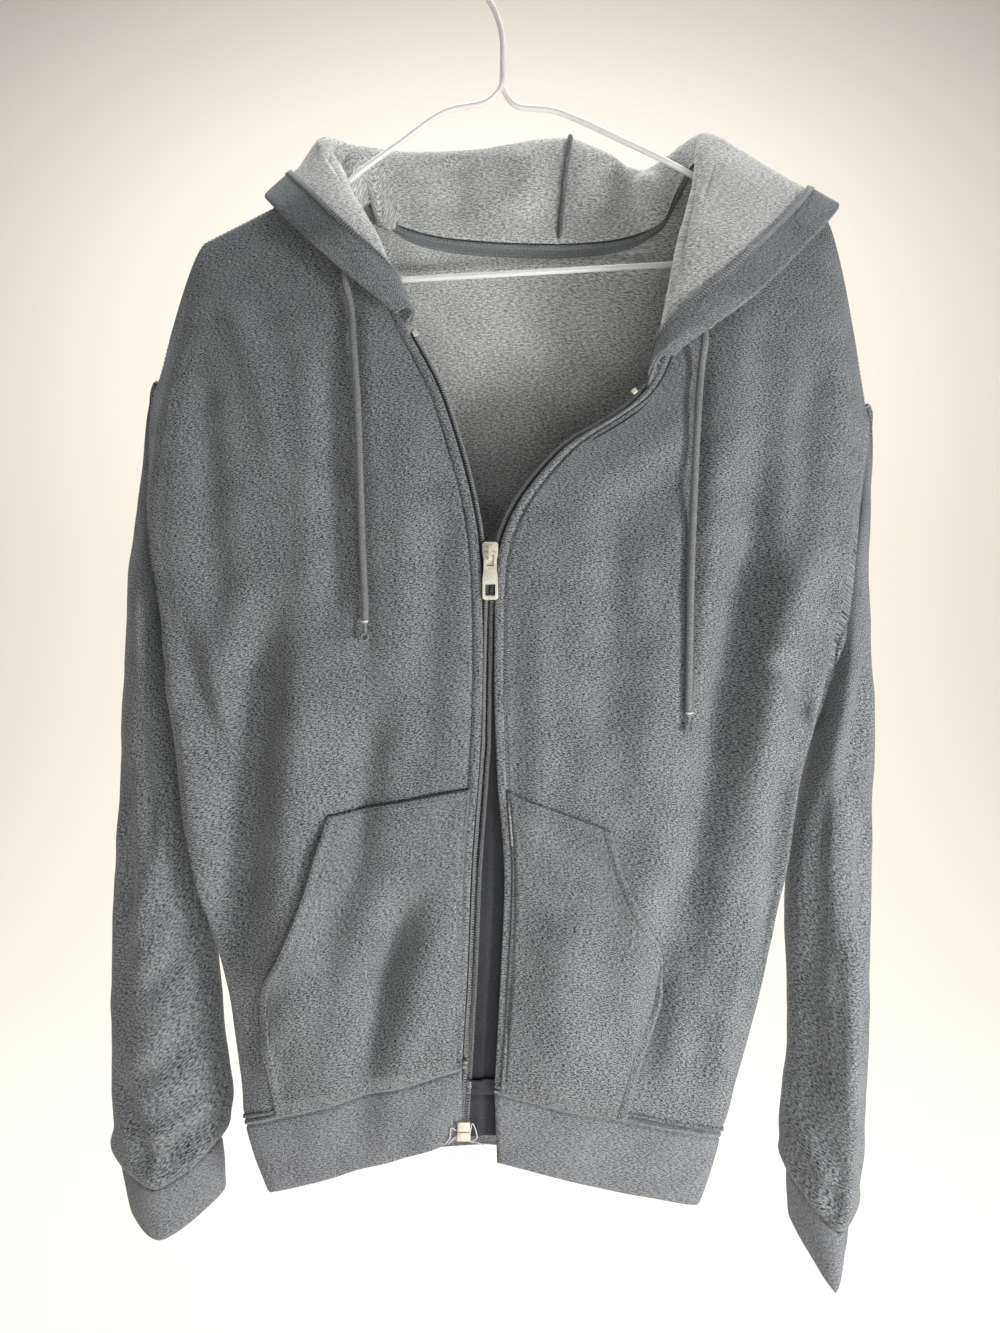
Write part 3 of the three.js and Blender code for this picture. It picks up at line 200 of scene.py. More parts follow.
clothLooks = {
    "jersey": {"dark": (42, 47, 51), "pale": (166, 170, 173), "mottle": 1.15, "grain": 1.35, "wale": 0.85, "course": 0.62, "bump": 0.35, "sheen": 0.15},
    "lining": {"dark": (134, 137, 137), "pale": (246, 247, 244), "mottle": 0.9, "grain": 0.95, "wale": 2.0, "course": 2.0, "bump": 0.0, "sheen": 0.4},
    "rib": {"dark": (68, 73, 79), "pale": (182, 185, 190), "mottle": 0.9, "grain": 1.4, "wale": 1.9, "course": 0.9, "bump": 0.7, "sheen": 0.15},
    "facing": {"dark": (54, 60, 64), "pale": (160, 165, 168), "mottle": 0.85, "grain": 1.4, "wale": 0.85, "course": 0.62, "bump": 0.35, "sheen": 0.1},
    "zipTape": {"dark": (40, 41, 45), "pale": (84, 86, 92), "mottle": 0.4, "grain": 1.5, "wale": 0.6, "course": 0.6, "bump": 0.4, "sheen": 0.05},
    "tape": {"dark": (84, 92, 94), "pale": (152, 157, 158), "mottle": 0.5, "grain": 1.3, "wale": 0.7, "course": 0.7, "bump": 0.4, "sheen": 0.1},
}


def clothMaterial(name):
    look = clothLooks[name]
    material, nodes, links, shader = newMaterial(name)
    vector = clothVector(nodes, links)
    melange = placeGroup(nodes, heather)
    links.new(vector, melange.inputs["Vector"])
    melange.inputs["Dark"].default_value = linear(look["dark"])
    melange.inputs["Pale"].default_value = linear(look["pale"])
    melange.inputs["Mottle"].default_value = look["mottle"]
    melange.inputs["Grain"].default_value = look["grain"]
    links.new(melange.outputs["Color"], shader.inputs["Base Color"])
    shader.inputs["Roughness"].default_value = 0.95
    shader.inputs["Specular IOR Level"].default_value = 0.15
    shader.inputs["Sheen Weight"].default_value = look["sheen"]
    shader.inputs["Sheen Roughness"].default_value = 0.5
    if name == "lining":
        tufts = noiseNode(nodes, links, vector, 0.55, 4.0, 0.7, 0.6)
        pile = noiseNode(nodes, links, vector, 2.4, 2.0, 0.6)
        height = mathNode(nodes, links, "MULTIPLY_ADD", pile, 0.4, tufts)
        bumpInto(nodes, links, shader, height, 0.8, 0.0012)
    else:
        loops = placeGroup(nodes, knit)
        links.new(vector, loops.inputs["Vector"])
        loops.inputs["Wale"].default_value = look["wale"]
        loops.inputs["Course"].default_value = look["course"]
        height = mathNode(nodes, links, "MULTIPLY_ADD", melange.outputs["Height"], 1.2, loops.outputs["Height"])
        bumpInto(nodes, links, shader, height, look["bump"], 0.0002 if name != "rib" else 0.0004)
    return material


def objectNoise(nodes, links, scale, detail=3.0, stretch=(1, 1, 1)):
    coordinates = nodes.new("ShaderNodeTexCoord")
    vector = stretched(nodes, links, coordinates.outputs["Object"], stretch)
    return noiseNode(nodes, links, vector, scale, detail)


def plainMaterial(name, dark, pale, roughness, metallic=0.0, scale=900, bump=0.1, distance=0.0001, stretch=(1, 1, 1)):
    material, nodes, links, shader = newMaterial(name)
    grain = objectNoise(nodes, links, scale, 3.0, stretch)
    links.new(mixColour(nodes, links, ramp(nodes, links, grain, 0.3, 0.7), linear(dark), linear(pale)), shader.inputs["Base Color"])
    shader.inputs["Metallic"].default_value = metallic
    links.new(mathNode(nodes, links, "MULTIPLY_ADD", grain, 0.25, roughness - 0.12), shader.inputs["Roughness"])
    bumpInto(nodes, links, shader, grain, bump, distance)
    return material


finishes = {name: clothMaterial(name) for name in clothLooks if name != "zipTape"}
finishes["coil"] = plainMaterial("coil", (112, 114, 116), (176, 178, 180), 0.45, scale=1500)
finishes["zipTape"] = clothMaterial("zipTape")
finishes["cutEdge"] = plainMaterial("cutEdge", (62, 67, 71), (152, 156, 159), 0.95, scale=1300, bump=0.3, distance=0.0003)
finishes["enamel"] = plainMaterial("enamel", (222, 216, 198), (238, 233, 218), 0.35, 0.15, 500, 0.04)
finishes["eyelet"] = plainMaterial("eyelet", (222, 200, 188), (240, 222, 210), 0.35, 0.5, 600, 0.05)
finishes["thread"] = plainMaterial("thread", (134, 139, 142), (184, 186, 187), 0.9, scale=2500)
finishes["darkThread"] = plainMaterial("darkThread", (58, 61, 64), (92, 95, 98), 0.9, scale=2500)
finishes["braid"] = plainMaterial("braid", (92, 96, 99), (158, 160, 160), 0.9, scale=1600, bump=0.5, distance=0.0004)
finishes["coating"] = plainMaterial("coating", (246, 245, 241), (253, 252, 250), 0.38, scale=260, bump=0.03)
finishes["paleThread"] = plainMaterial("paleThread", (208, 207, 200), (238, 237, 232), 0.85, scale=2500)
print("materials made")


# Shapes from sections. Every table is in millimetres, (x, y, z), from the hem up.
def through(rows, level):
    rows = np.asarray(rows, float)
    level = np.asarray(level, float)
    last = len(rows) - 1
    low = np.clip(np.floor(level).astype(int), 0, last - 1)
    t = (level - low)[..., None]
    before, start, end, after = (rows[np.clip(low + step, 0, last)] for step in (-1, 0, 1, 2))
    leave, arrive = (end - before) / 2, (after - start) / 2
    return start + t * (leave + t * (3 * (end - start) - 2 * leave - arrive + t * (2 * (start - end) + leave + arrive)))


def unit(vectors):
    return vectors / np.maximum(np.linalg.norm(vectors, axis=-1, keepdims=True), 1e-9)


def gridNormals(points, closed=False):
    along = np.gradient(points, axis=0)
    if closed:
        ring = points[:, :-1]
        across = np.roll(ring, -1, 1) - np.roll(ring, 1, 1)
        across = np.concatenate([across, across[:, :1]], 1)
    else:
        across = np.gradient(points, axis=1)
    return unit(np.cross(across, along))


# Distances along the cloth from its first column and its first row
def cutLengths(points):
    across = np.linalg.norm(np.diff(points, axis=1), axis=2)
    along = np.linalg.norm(np.diff(points, axis=0), axis=2)
    return (np.concatenate([np.zeros((len(points), 1)), np.cumsum(across, 1)], 1),
            np.concatenate([np.zeros((1, points.shape[1])), np.cumsum(along, 0)], 0))


# How far along a line each of its points lies
def runLength(path):
    return np.concatenate([[0], np.cumsum(np.linalg.norm(np.diff(path, axis=0), axis=1))])


# The values of a line at places along it
def atPlaces(places, run, values):
    return np.stack([np.interp(places, run, values[:, axis]) for axis in range(3)], -1)


# Soft folds: each row is start x z, middle x z, end x z, width and height, raised over its width
def foldRelief(folds, points, facing):
    relief = np.zeros(points.shape[:-1])
    flat = points[..., [0, 2]]
    share = np.linspace(0, 1, 121)
    for startX, startZ, middleX, middleZ, endX, endZ, width, height in folds:
        line = ((1 - share) * (1 - 2 * share))[:, None] * (startX, startZ)
        line = line + (4 * share * (1 - share))[:, None] * (middleX, middleZ) + (share * (2 * share - 1))[:, None] * (endX, endZ)
        distance = np.linalg.norm(flat[..., None, :] - line, axis=-1)
        nearest = distance.argmin(-1)
        near = np.take_along_axis(distance, nearest[..., None], -1)[..., 0]
        place = share[nearest]
        fade = np.minimum(1, np.minimum(place / 0.25, (1 - place) / 0.25))
        fade = fade * fade * (3 - 2 * fade)
        profile = np.exp(-(near / width) ** 2) - 0.3 * np.exp(-((near - 1.7 * width) / width) ** 2)
        relief += 1.7 * height * fade * profile
    return relief * facing


def waver(points, size, seed):
    flat = points.reshape(-1, 3) / size
    return np.array([noise.noise(Vector(row) + Vector((seed, seed, seed))) for row in flat]).reshape(points.shape[:-1])


pieces = {}


def newPiece(name, data):
    piece = bpy.data.objects.new(name, data)
    bpy.context.collection.objects.link(piece)
    return piece


def placeRun(piece):
    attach(piece, "garment")


# A grid of faces with its points in millimetres and its UV map, and each vertex's row and column
def gridMesh(name, points, mapU, mapV):
    rows, columns = points.shape[0] - 1, points.shape[1] - 1
    bm = bmesh.new()
    bm.loops.layers.uv.new("UVMap")
    bmesh.ops.create_grid(bm, x_segments=columns, y_segments=rows, size=0.5, calc_uvs=True)
    mesh = bpy.data.meshes.new(name)
    bm.to_mesh(mesh)
    bm.free()
    co = np.empty(len(mesh.vertices) * 3)
    mesh.vertices.foreach_get("co", co)
    co = co.reshape(-1, 3)
    column = np.rint((co[:, 0] + 0.5) * columns).astype(int)
    row = np.rint((co[:, 1] + 0.5) * rows).astype(int)
    mesh.vertices.foreach_set("co", (points[row, column] * mm).ravel())
    loops = np.empty(len(mesh.loops), dtype=int)
    mesh.loops.foreach_get("vertex_index", loops)
    uv = np.stack([mapU[row, column], mapV[row, column]], 1) * mm
    mesh.uv_layers["UVMap"].uv.foreach_set("vector", uv[loops].ravel())
    return mesh, row, column, loops


# A piece of cloth on a grid: the outer face is given, and the wall goes in from it
def cloth(name, points, normals, wall, looks, closed=False, flip=False, band=None, nodes=(), base=None, chart=None):
    u, v = cutLengths(points)
    mesh, row, column, loops = gridMesh(name, points, *(chart or (cutLengths(base) if base is not None else (u, v))))
    if band is not None:
        first = np.empty(len(mesh.polygons), dtype=int)
        mesh.polygons.foreach_get("loop_start", first)
        index = np.where(band[row, column][loops[first]], 2, 0)
        mesh.polygons.foreach_set("material_index", index)
    if flip:
        mesh.flip_normals()
    if closed:
        bm = bmesh.new()
        bm.from_mesh(mesh)
        bmesh.ops.remove_doubles(bm, verts=bm.verts, dist=1e-6)
        bm.to_mesh(mesh)
        bm.free()
    mesh.shade_smooth()
    piece = newPiece(name, mesh)
    for look in looks:
        mesh.materials.append(finishes[look])
    thickness = piece.modifiers.new("wall", "SOLIDIFY")
    thickness.thickness = wall * mm
    thickness.offset = -1
    thickness.material_offset = 1 if len(looks) > 1 else 0
    if looks[0] == "jersey":
        mesh.materials.append(finishes["cutEdge"])
        thickness.material_offset_rim = len(looks)
    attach(piece, "garment")
    if nodes:
        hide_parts(*nodes)
    out = -normals if flip else normals
    pieces[name] = {"object": piece, "points": points, "normals": out, "u": u, "v": v, "wall": wall}
    area = sum(face.area for face in mesh.polygons)
    print(name, "faces", len(mesh.polygons), "area", round(area, 4))
    return piece


# Front panels: zip and neck edge, the turn at the side, and the side and armhole seam
fronts = {
    "left": {
        "zipEdge": [(-21, -38, -826), (-17, -38, -755), (-14, -38, -680), (-8, -37, -600), (-6.5, -35, -512),
                    (-12, -33, -436), (-35, -31, -352), (-62, -27, -297), (-86, -19, -240), (-112, 0, -174)],
        "turn": [(-181, -24, -873), (-191, -24, -788), (-216, -24, -698), (-231, -24, -600), (-242, -23, -506),
                 (-248, -23, -436), (-238, -22, -358), (-224, -16, -292), (-220, -9, -258), (-220, -1, -231)],
        "seam": [(-176, 4, -878), (-183, 2, -790), (-203, -2, -702), (-219, -4, -606), (-238, 2, -514),
                 (-252, -9, -440), (-257, -4, -378), (-256, 1, -346), (-253.5, 5, -335), (-251, 7, -329)],
        "folds": [
            (-160, -480, -176, -620, -188, -780, 17, -9), (-52, -690, -84, -805, -101, -940, 15, -10),
            (-122, -520, -138, -680, -142, -880, 22, 5), (-116, -290, -114, -410, -110, -530, 11, -4),
            (-40, -850, -42, -880, -44, -940, 12, 5),
            (-105, -232, -95, -400, -88, -580, 7, -1.8),
            (-215, -300, -205, -420, -196, -560, 13, -3), (-196, -270, -170, -330, -150, -420, 12, 2.5),
            (-232, -500, -210, -560, -190, -640, 9, -3.5), (-236, -540, -222, -600, -212, -690, 8, 3),
            (-60, -360, -66, -450, -62, -540, 16, 2), (-34, -420, -44, -520, -48, -640, 12, -2),
            (-80, -560, -92, -640, -96, -720, 12, -2.5), (-160, -800, -162, -840, -164, -880, 8, 3),
        ],
    },
    "right": {
        "zipEdge": [(2, -38, -843), (6, -38, -770), (9, -38, -690), (4, -37, -620), (2, -35, -535),
                    (8, -33, -450), (48, -32, -390), (113, -28, -341), (136, -18, -255), (152, 0, -167)],
        "turn": [(168, -24, -882), (194, -24, -794), (216, -24, -695), (227, -24, -628), (243, -23, -560),
                 (257, -23, -468), (254, -22, -385), (252, -16, -300), (252, -9, -240), (254, -1, -211)],
        "seam": [(164, 4, -887), (187, 2, -796), (204, -2, -698), (214, -4, -632), (238, 2, -570),
                 (261, -17, -476), (274, -8, -412), (281, 1, -366), (282.5, 5, -352), (281, 7, -346)],
        "folds": [
            (203, -322, 166, -590, 96, -890, 17, -9), (156, -396, 112, -426, 66, -456, 20, -2.4),
            (238, -440, 204, -536, 184, -650, 18, 6), (196, -532, 220, -558, 242, -590, 9, -5),
            (60, -700, 52, -800, 48, -920, 26, 5),
            (236, -300, 226, -400, 214, -500, 12, -3), (180, -270, 176, -340, 164, -420, 14, 2.5),
            (153, -270, 144, -440, 137, -650, 7, -2.4), (120, -500, 114, -580, 100, -660, 12, 2), (90, -420, 84, -520, 76, -620, 14, -2.5),
            (30, -480, 34, -580, 30, -680, 12, 2), (214, -600, 206, -680, 196, -780, 9, -3.5),
            (140, -700, 132, -780, 122, -860, 10, 3), (186, -720, 170, -800, 158, -870, 10, 3),
        ],
    },
}
shoulder = {"top": 9, "roll": 6.4, "start": 3.5, "reach": 90}


def shoulderRoll(level):
    drop = (shoulder["top"] - level) * 60
    ease = np.clip(level - 6, 0, 1)
    return shoulder["roll"] * (1 - np.exp(-drop / shoulder["start"])) * np.exp(-drop / shoulder["reach"]) * ease


# A rounded turn at share 1 between two straight runs
def turned(share, first, middle, last, before, after):
    share = share[..., None]
    straight = np.where(share <= 1, first + (middle - first) * share, middle + (last - middle) * (share - 1))
    t = np.clip((share - (1 - before)) / (before + after), 0, 1)
    start, end = first + (middle - first) * (1 - before), middle + (last - middle) * after
    arc = (1 - t) ** 2 * start + 2 * t * (1 - t) * middle + t * t * end
    return np.where((share > 1 - before) & (share < 1 + after), arc, straight)


def frontSurface(side, share, level):
    panel = fronts[side]
    share, level = np.broadcast_arrays(np.asarray(share, float), np.asarray(level, float))
    edge, turn, seam = (through(panel[name], level) for name in ("zipEdge", "turn", "seam"))
    turn = turn + np.clip((7 - level) / 2, 0, 1)[..., None] * (-3.5 if side == "left" else 3, 0, 0)
    point = turned(share, edge, turn, seam, 0.07, 0.5)
    point[..., 1] -= 5 * np.sin(math.pi * np.clip(share, 0, 1)) * np.minimum(1, (shoulder["top"] - level) / 3)
    point[..., 1] -= shoulderRoll(level) * np.clip((2 - share) / 0.35, 0.25, 1)
    return point


def frontColumns():
    near = np.linspace(0, 0.07, 15)
    across = np.linspace(0.07, 0.9, 62)[1:]
    bend = np.linspace(0.9, 1.5, 22)[1:]
    side = np.linspace(1.5, 2, 9)[1:]
    return np.concatenate([near, across, bend, side])


frontRows = np.concatenate([np.linspace(0, 0.08, 13), np.linspace(0.08, 8.8, 190)[1:], np.linspace(8.8, 9, 8)[1:]])


def frontRelief(side, points, normals, share, level):
    u, v = cutLengths(points)
    facing = np.clip(-normals[..., 1] * 1.4, 0, 1)
    fade = np.clip((shoulder["top"] - level) / 1.2, 0, 1) * np.clip(share / 0.06, 0, 1)
    relief = foldRelief(fronts[side]["folds"], points, facing) * fade * (0.3 + 0.7 * np.clip(v / 75, 0, 1))
    relief += fade * (1.1 * waver(points, 55, 3.1) + 0.5 * waver(points, 21, 8.7))
    fromZip, fromSeam = u, u[:, -1:] - u
    fromHem, fromTop = v, v[-1:] - v
    relief += 1.0 * np.exp(-((fromZip - 3.2) / 2.6) ** 2) - 1.7 * np.exp(-((fromZip - 7.4) / 0.9) ** 2)
    relief -= 0.9 * np.exp(-(fromSeam / 2.2) ** 2)
    relief += (0.2 + 1.3 * facing) * np.exp(-((fromHem - 1.8) / 1.1) ** 2) - 1.2 * np.exp(-(fromHem / 0.8) ** 2) - 1.2 * np.exp(-((fromHem - 4.6) / 1.0) ** 2)
    relief -= 0.9 * np.exp(-(fromTop / 1.8) ** 2) * np.clip(level - 8, 0, 1)
    return relief


for side in ("left", "right"):
    share, level = np.meshgrid(frontColumns(), frontRows)
    points = frontSurface(side, share, level)
    normals = gridNormals(points) * (-1 if side == "left" else 1)
    relief = frontRelief(side, points, normals, share, level)
    shaped = points + normals * relief[..., None]
    grids = gridNormals(shaped)
    piece = cloth("front_panel_" + side, shaped, grids, 2.0, ("jersey", "lining"), flip=side == "left", nodes=("front_" + side,), base=points)
    fronts[side]["share"], fronts[side]["level"] = share, level
print("fronts made")


# The back panel: a corner at each side and the middle, with the neck's dip
back = {
    "left": [(-150, 40, -880), (-155, 40, -792), (-168, 36, -702), (-178, 32, -606), (-196, 38, -512),
             (-208, 44, -448), (-213, 42, -380), (-216, 33, -318), (-219, 16, -258), (-220, -1, -231)],
    "middle": [(-5, 48, -868), (3, 48, -785), (6, 46, -698), (10, 43, -608), (14, 40, -520),
               (20, 38, -450), (26, 35, -380), (32, 31, -318), (40, 26, -262), (50, 20, -218)],
    "right": [(138, 40, -884), (160, 40, -796), (172, 36, -698), (182, 32, -630), (202, 38, -560),
              (218, 44, -476), (228, 42, -398), (240, 33, -325), (250, 16, -245), (254, -1, -211)],
    "armholeLeft": [(-238, 2, -514), (-247, 37, -456), (-255, 38, -402), (-258, 27, -360), (-255, 16, -338), (-251, 7, -329)],
    "armholeRight": [(238, 2, -570), (256, 37, -496), (270, 38, -428), (281, 27, -380), (283, 16, -356), (281, 7, -346)],
    "folds": [
        (-170, -420, -176, -560, -160, -800, 20, -7), (150, -380, 166, -560, 140, -820, 22, -8),
        (-60, -420, -50, -600, -66, -840, 26, 5), (70, -480, 62, -640, 74, -850, 22, -5),
        (-190, -330, -130, -350, -70, -330, 18, -4), (90, -330, 160, -350, 220, -320, 18, -4),
        (-20, -300, -6, -380, -14, -480, 20, 3), (200, -560, 180, -660, 176, -780, 14, 4),
        (-200, -560, -190, -640, -184, -760, 13, 4), (10, -560, 4, -680, 12, -800, 16, -3.5),
        (120, -420, 118, -500, 104, -600, 12, 3), (-120, -600, -112, -700, -118, -840, 15, -4),
    ],
}
neckDips = [1, 0.92, 0.78, 0.6, 0.4, 0.2, 0]
neckRises = [1, 0.78, 0.28, 0.09, 0.03, 0.01, 0]


# How far the neck line has come towards the neck's corner in x, y and z
def neckShares(dip):
    station = np.interp(-dip, [-value for value in neckDips], range(7))
    rise = through(np.array(neckRises)[:, None], station)
    return np.concatenate([dip[..., None], dip[..., None] ** 2.2, rise], -1)


def backSeam(side, level):
    low = through(fronts[side]["seam"], np.minimum(level, 4))
    high = through(back["armhole" + side.capitalize()], np.maximum(level - 4, 0))
    return np.where((level <= 4)[..., None], low, high)


# Place runs from the side seam (0) by the corner (3) and the neck's corner (13) to the middle (19)
def backSurface(side, place, level):
    place, level = np.broadcast_arrays(np.asarray(place, float), np.asarray(level, float))
    corner, middle = through(back[side], level), through(back["middle"], level)
    share = np.clip((place - 3) / 16, 0, 1)
    reach = np.where(place < 3, place / 3, 1 + (place - 3) / 16)
    point = turned(reach, backSeam(side, level), corner, middle, 0.45, 0.08)
    roll = shoulderRoll(level)
    point[..., 1] += np.where(place < 3, roll * np.clip(place / 1.5, 0.25, 1), roll)
    point[..., 1] += 6 * np.sin(math.pi * share) * np.minimum(1, (shoulder["top"] - level) / 3)
    neck = np.asarray(fronts[side]["zipEdge"][9], float)
    topCorner, topMiddle = np.asarray(back[side][9], float), np.asarray(back["middle"][9], float)
    top = topCorner + (topMiddle - topCorner) * share[..., None]
    dipped = topMiddle + (neck - topMiddle) * neckShares(np.interp(place - 13, range(7), neckDips))
    run = topCorner + (neck - topCorner) * np.clip((place - 3) / 10, 0, 1)[..., None]
    target = np.where((place <= 13)[..., None], run, dipped)
    lift = np.clip((level - 7) / 2, 0, 1) ** 1.6
    return point + np.where((place >= 3)[..., None], (target - top) * lift[..., None], 0)


halfPlaces = np.concatenate([np.linspace(0, 4.2, 20), np.linspace(4.2, 19, 58)[1:]])
level, place = np.meshgrid(frontRows, halfPlaces, indexing="ij")
leftHalf = backSurface("left", place, level)
rightHalf = backSurface("right", place, level)[:, ::-1]
points = np.concatenate([leftHalf, rightHalf[:, 1:]], 1)
normals = -gridNormals(points)
u, v = cutLengths(points)
level = np.broadcast_to(frontRows[:, None], u.shape)
fade = np.clip((shoulder["top"] - level) / 1.5, 0, 1)
relief = foldRelief(back["folds"], points, np.clip(normals[..., 1] * 1.4, 0, 1)) * fade * (0.3 + 0.7 * np.clip(v / 75, 0, 1))
relief += fade * (1.4 * waver(points, 60, 12.3) + 0.5 * waver(points, 23, 4.1))
relief -= 0.9 * np.exp(-(u / 2.2) ** 2) + 0.9 * np.exp(-((u[:, -1:] - u) / 2.2) ** 2)
relief += 0.9 * np.exp(-((v - 1.6) / 0.9) ** 2) - 1.4 * np.exp(-(v / 0.7) ** 2) - 0.8 * np.exp(-((v - 4.2) / 0.9) ** 2)
relief -= 0.9 * np.exp(-((v[-1:] - v) / 1.8) ** 2)
shaped = points + normals * relief[..., None]
backPiece = cloth("back_panel", shaped, gridNormals(shaped), 2.0, ("jersey", "lining"), flip=True, nodes=("back",), base=points)
print("back made")


# Sleeves: a ring of outer, front, inner and back points at each section below the armhole
sleeves = {
    "left": {
        "outer": [(-276, 15, -470), (-281, 16, -560), (-285, 16, -650), (-289, 15, -735), (-290, 14, -815), (-289, 14, -880), (-283, 14, -914)],
        "front": [(-261, -11, -520), (-257, -12, -580), (-249, -14, -655), (-249, -17, -735), (-249, -19, -815), (-247, -21, -888), (-246, -17, -927)],
        "inner": [(-241, 16, -545), (-234, 18, -596), (-221, 18, -664), (-211, 17, -740), (-205, 16, -815), (-197, 14, -872), (-206, 14, -902)],
        "back": [(-254, 50, -505), (-254, 56, -570), (-252, 55, -650), (-250, 51, -735), (-250, 47, -815), (-247, 44, -880), (-246, 40, -916)],
        "cuff": [(-275, 14, -954), (-243, -14, -965), (-203, 14, -941), (-243, 37, -956)],
        "folds": [
            (-262, -560, -250, -640, -252, -720, 9, -4), (-232, -600, -246, -680, -270, -760, 8, 3),
            (-216, -720, -236, -760, -262, -790, 9, -3.5), (-276, -600, -270, -700, -276, -800, 8, -3),
            (-214, -800, -238, -830, -270, -850, 9, -3), (-206, -860, -232, -880, -256, -886, 7, 3),
            (-280, -840, -262, -880, -250, -915, 8, -3.5), (-222, -880, -232, -900, -238, -920, 6, -3),
        ],
    },
    "right": {
        "outer": [(288, 16, -500), (292, 17, -590), (291, 18, -680), (289, 18, -760), (286, 18, -840), (282, 17, -912), (272, 14, -950)],
        "front": [(262, -12, -566), (254, -13, -622), (250, -14, -690), (258, -18, -765), (262, -22, -842), (258, -24, -922), (253, -17, -958)],
        "inner": [(243, 16, -602), (232, 18, -648), (225, 18, -700), (225, 17, -768), (226, 16, -835), (218, 13, -892), (224, 12, -925)],
        "back": [(264, 50, -560), (262, 56, -615), (258, 55, -690), (257, 51, -762), (257, 47, -838), (252, 43, -902), (249, 38, -936)],
        "cuff": [(260, 12, -986), (252, -15, -1003), (226, 11, -963), (246, 34, -976)],
        "folds": [
            (263, -720, 264, -790, 257, -890, 7, 4), (248, -620, 240, -700, 244, -780, 8, -4),
            (232, -740, 238, -820, 232, -890, 7, -3.5), (284, -640, 276, -720, 278, -800, 8, -3),
            (280, -840, 274, -890, 268, -930, 7, -3), (226, -880, 240, -910, 262, -926, 7, 3),
            (290, -520, 272, -580, 262, -640, 8, -3), (256, -900, 250, -930, 252, -950, 6, -3),
        ],
    },
}
sleeveLeaves = {"drop": 3, "side": 9}
armholeLevels = [9, 8.92, 8.7, 8.2, 7.6, 7, 6.4, 5.8, 5.2, 4.6, 4]


# A closed ring through four points, sampled over its turns from 0 to 4
def ringThrough(keys, turn):
    low = np.floor(turn).astype(int)
    t = (turn - low)[:, None]
    before, start, end, after = (keys[..., (low + step) % 4, :] for step in (-1, 0, 1, 2))
    leave, arrive = (end - before) / 2, (after - start) / 2
    return start + t * (leave + t * (3 * (end - start) - 2 * leave - arrive + t * (2 * (start - end) + leave + arrive)))


# The rows of a stack are joined by a smooth run whose knots are as far apart as the rows
def alongStack(stack, knots, places):
    slopes = np.gradient(stack, knots, axis=0)
    slopes[1] = 0.25 * slopes[1] + 0.75 * (stack[2] - stack[1]) / (knots[2] - knots[1])
    low = np.clip(np.searchsorted(knots, places, side="right") - 1, 0, len(knots) - 2)
    width = (knots[low + 1] - knots[low])[:, None, None]
    t = ((places - knots[low])[:, None, None]) / width
    start, end = stack[low], stack[low + 1]
    leave, arrive = slopes[low] * width, slopes[low + 1] * width
    return start + t * (leave + t * (3 * (end - start) - 2 * leave - arrive + t * (2 * (start - end) + leave + arrive)))


def sleeveSurface(side, turn, spacing=3.4):
    table = sleeves[side]
    levelAt = np.where(turn <= 2, np.interp(turn * 5, range(11), armholeLevels), np.interp((4 - turn) * 5, range(11), armholeLevels))
    seam = np.where((turn <= 2)[:, None], frontSurface(side, np.full(len(turn), 2.0), levelAt), backSeam(side, levelAt))
    tubeLevels = np.arange(0, 6.01, 0.5)
    keys = np.stack([through(table[name], tubeLevels) for name in ("outer", "front", "inner", "back")], 1)
    tube = ringThrough(keys, turn)
    few = np.arange(20) / 5
    spots = [np.interp(few, turn, seam[:, axis]) for axis in range(3)]
    fewSeam = np.stack(spots, -1)
    along = unit(np.roll(fewSeam, -1, 0) - np.roll(fewSeam, 1, 0))
    away = ringThrough(keys[0], few) - fewSeam
    away = unit(away - along * (away * along).sum(-1, keepdims=True))
    fromDrop = np.linalg.norm(fewSeam - fewSeam[0], axis=-1)
    away[:, 0] += (-2 if side == "left" else 2) * np.exp(-fromDrop / 10)
    length = sleeveLeaves["drop"] + (sleeveLeaves["side"] - sleeveLeaves["drop"]) * np.minimum(1, fromDrop / 110)
    leaves = unit(away) * length[:, None]
    leaves = np.stack([np.interp(turn, np.arange(21) / 5, np.append(leaves[:, axis], leaves[0, axis])) for axis in range(3)], -1)
    start = seam + leaves
    stack = np.concatenate([seam[None], start[None], (start + (tube[0] - start) * 0.45)[None], tube])
    steps = np.linalg.norm(np.diff(stack, axis=0), axis=-1).mean(-1)
    knots = np.concatenate([[0], np.cumsum(steps)])
    rows = int(knots[-1] / spacing)
    places = np.concatenate([np.linspace(0, 6, 5), np.linspace(6, knots[-1], rows)[1:]])
    return alongStack(stack, knots, places), places / knots[-1]


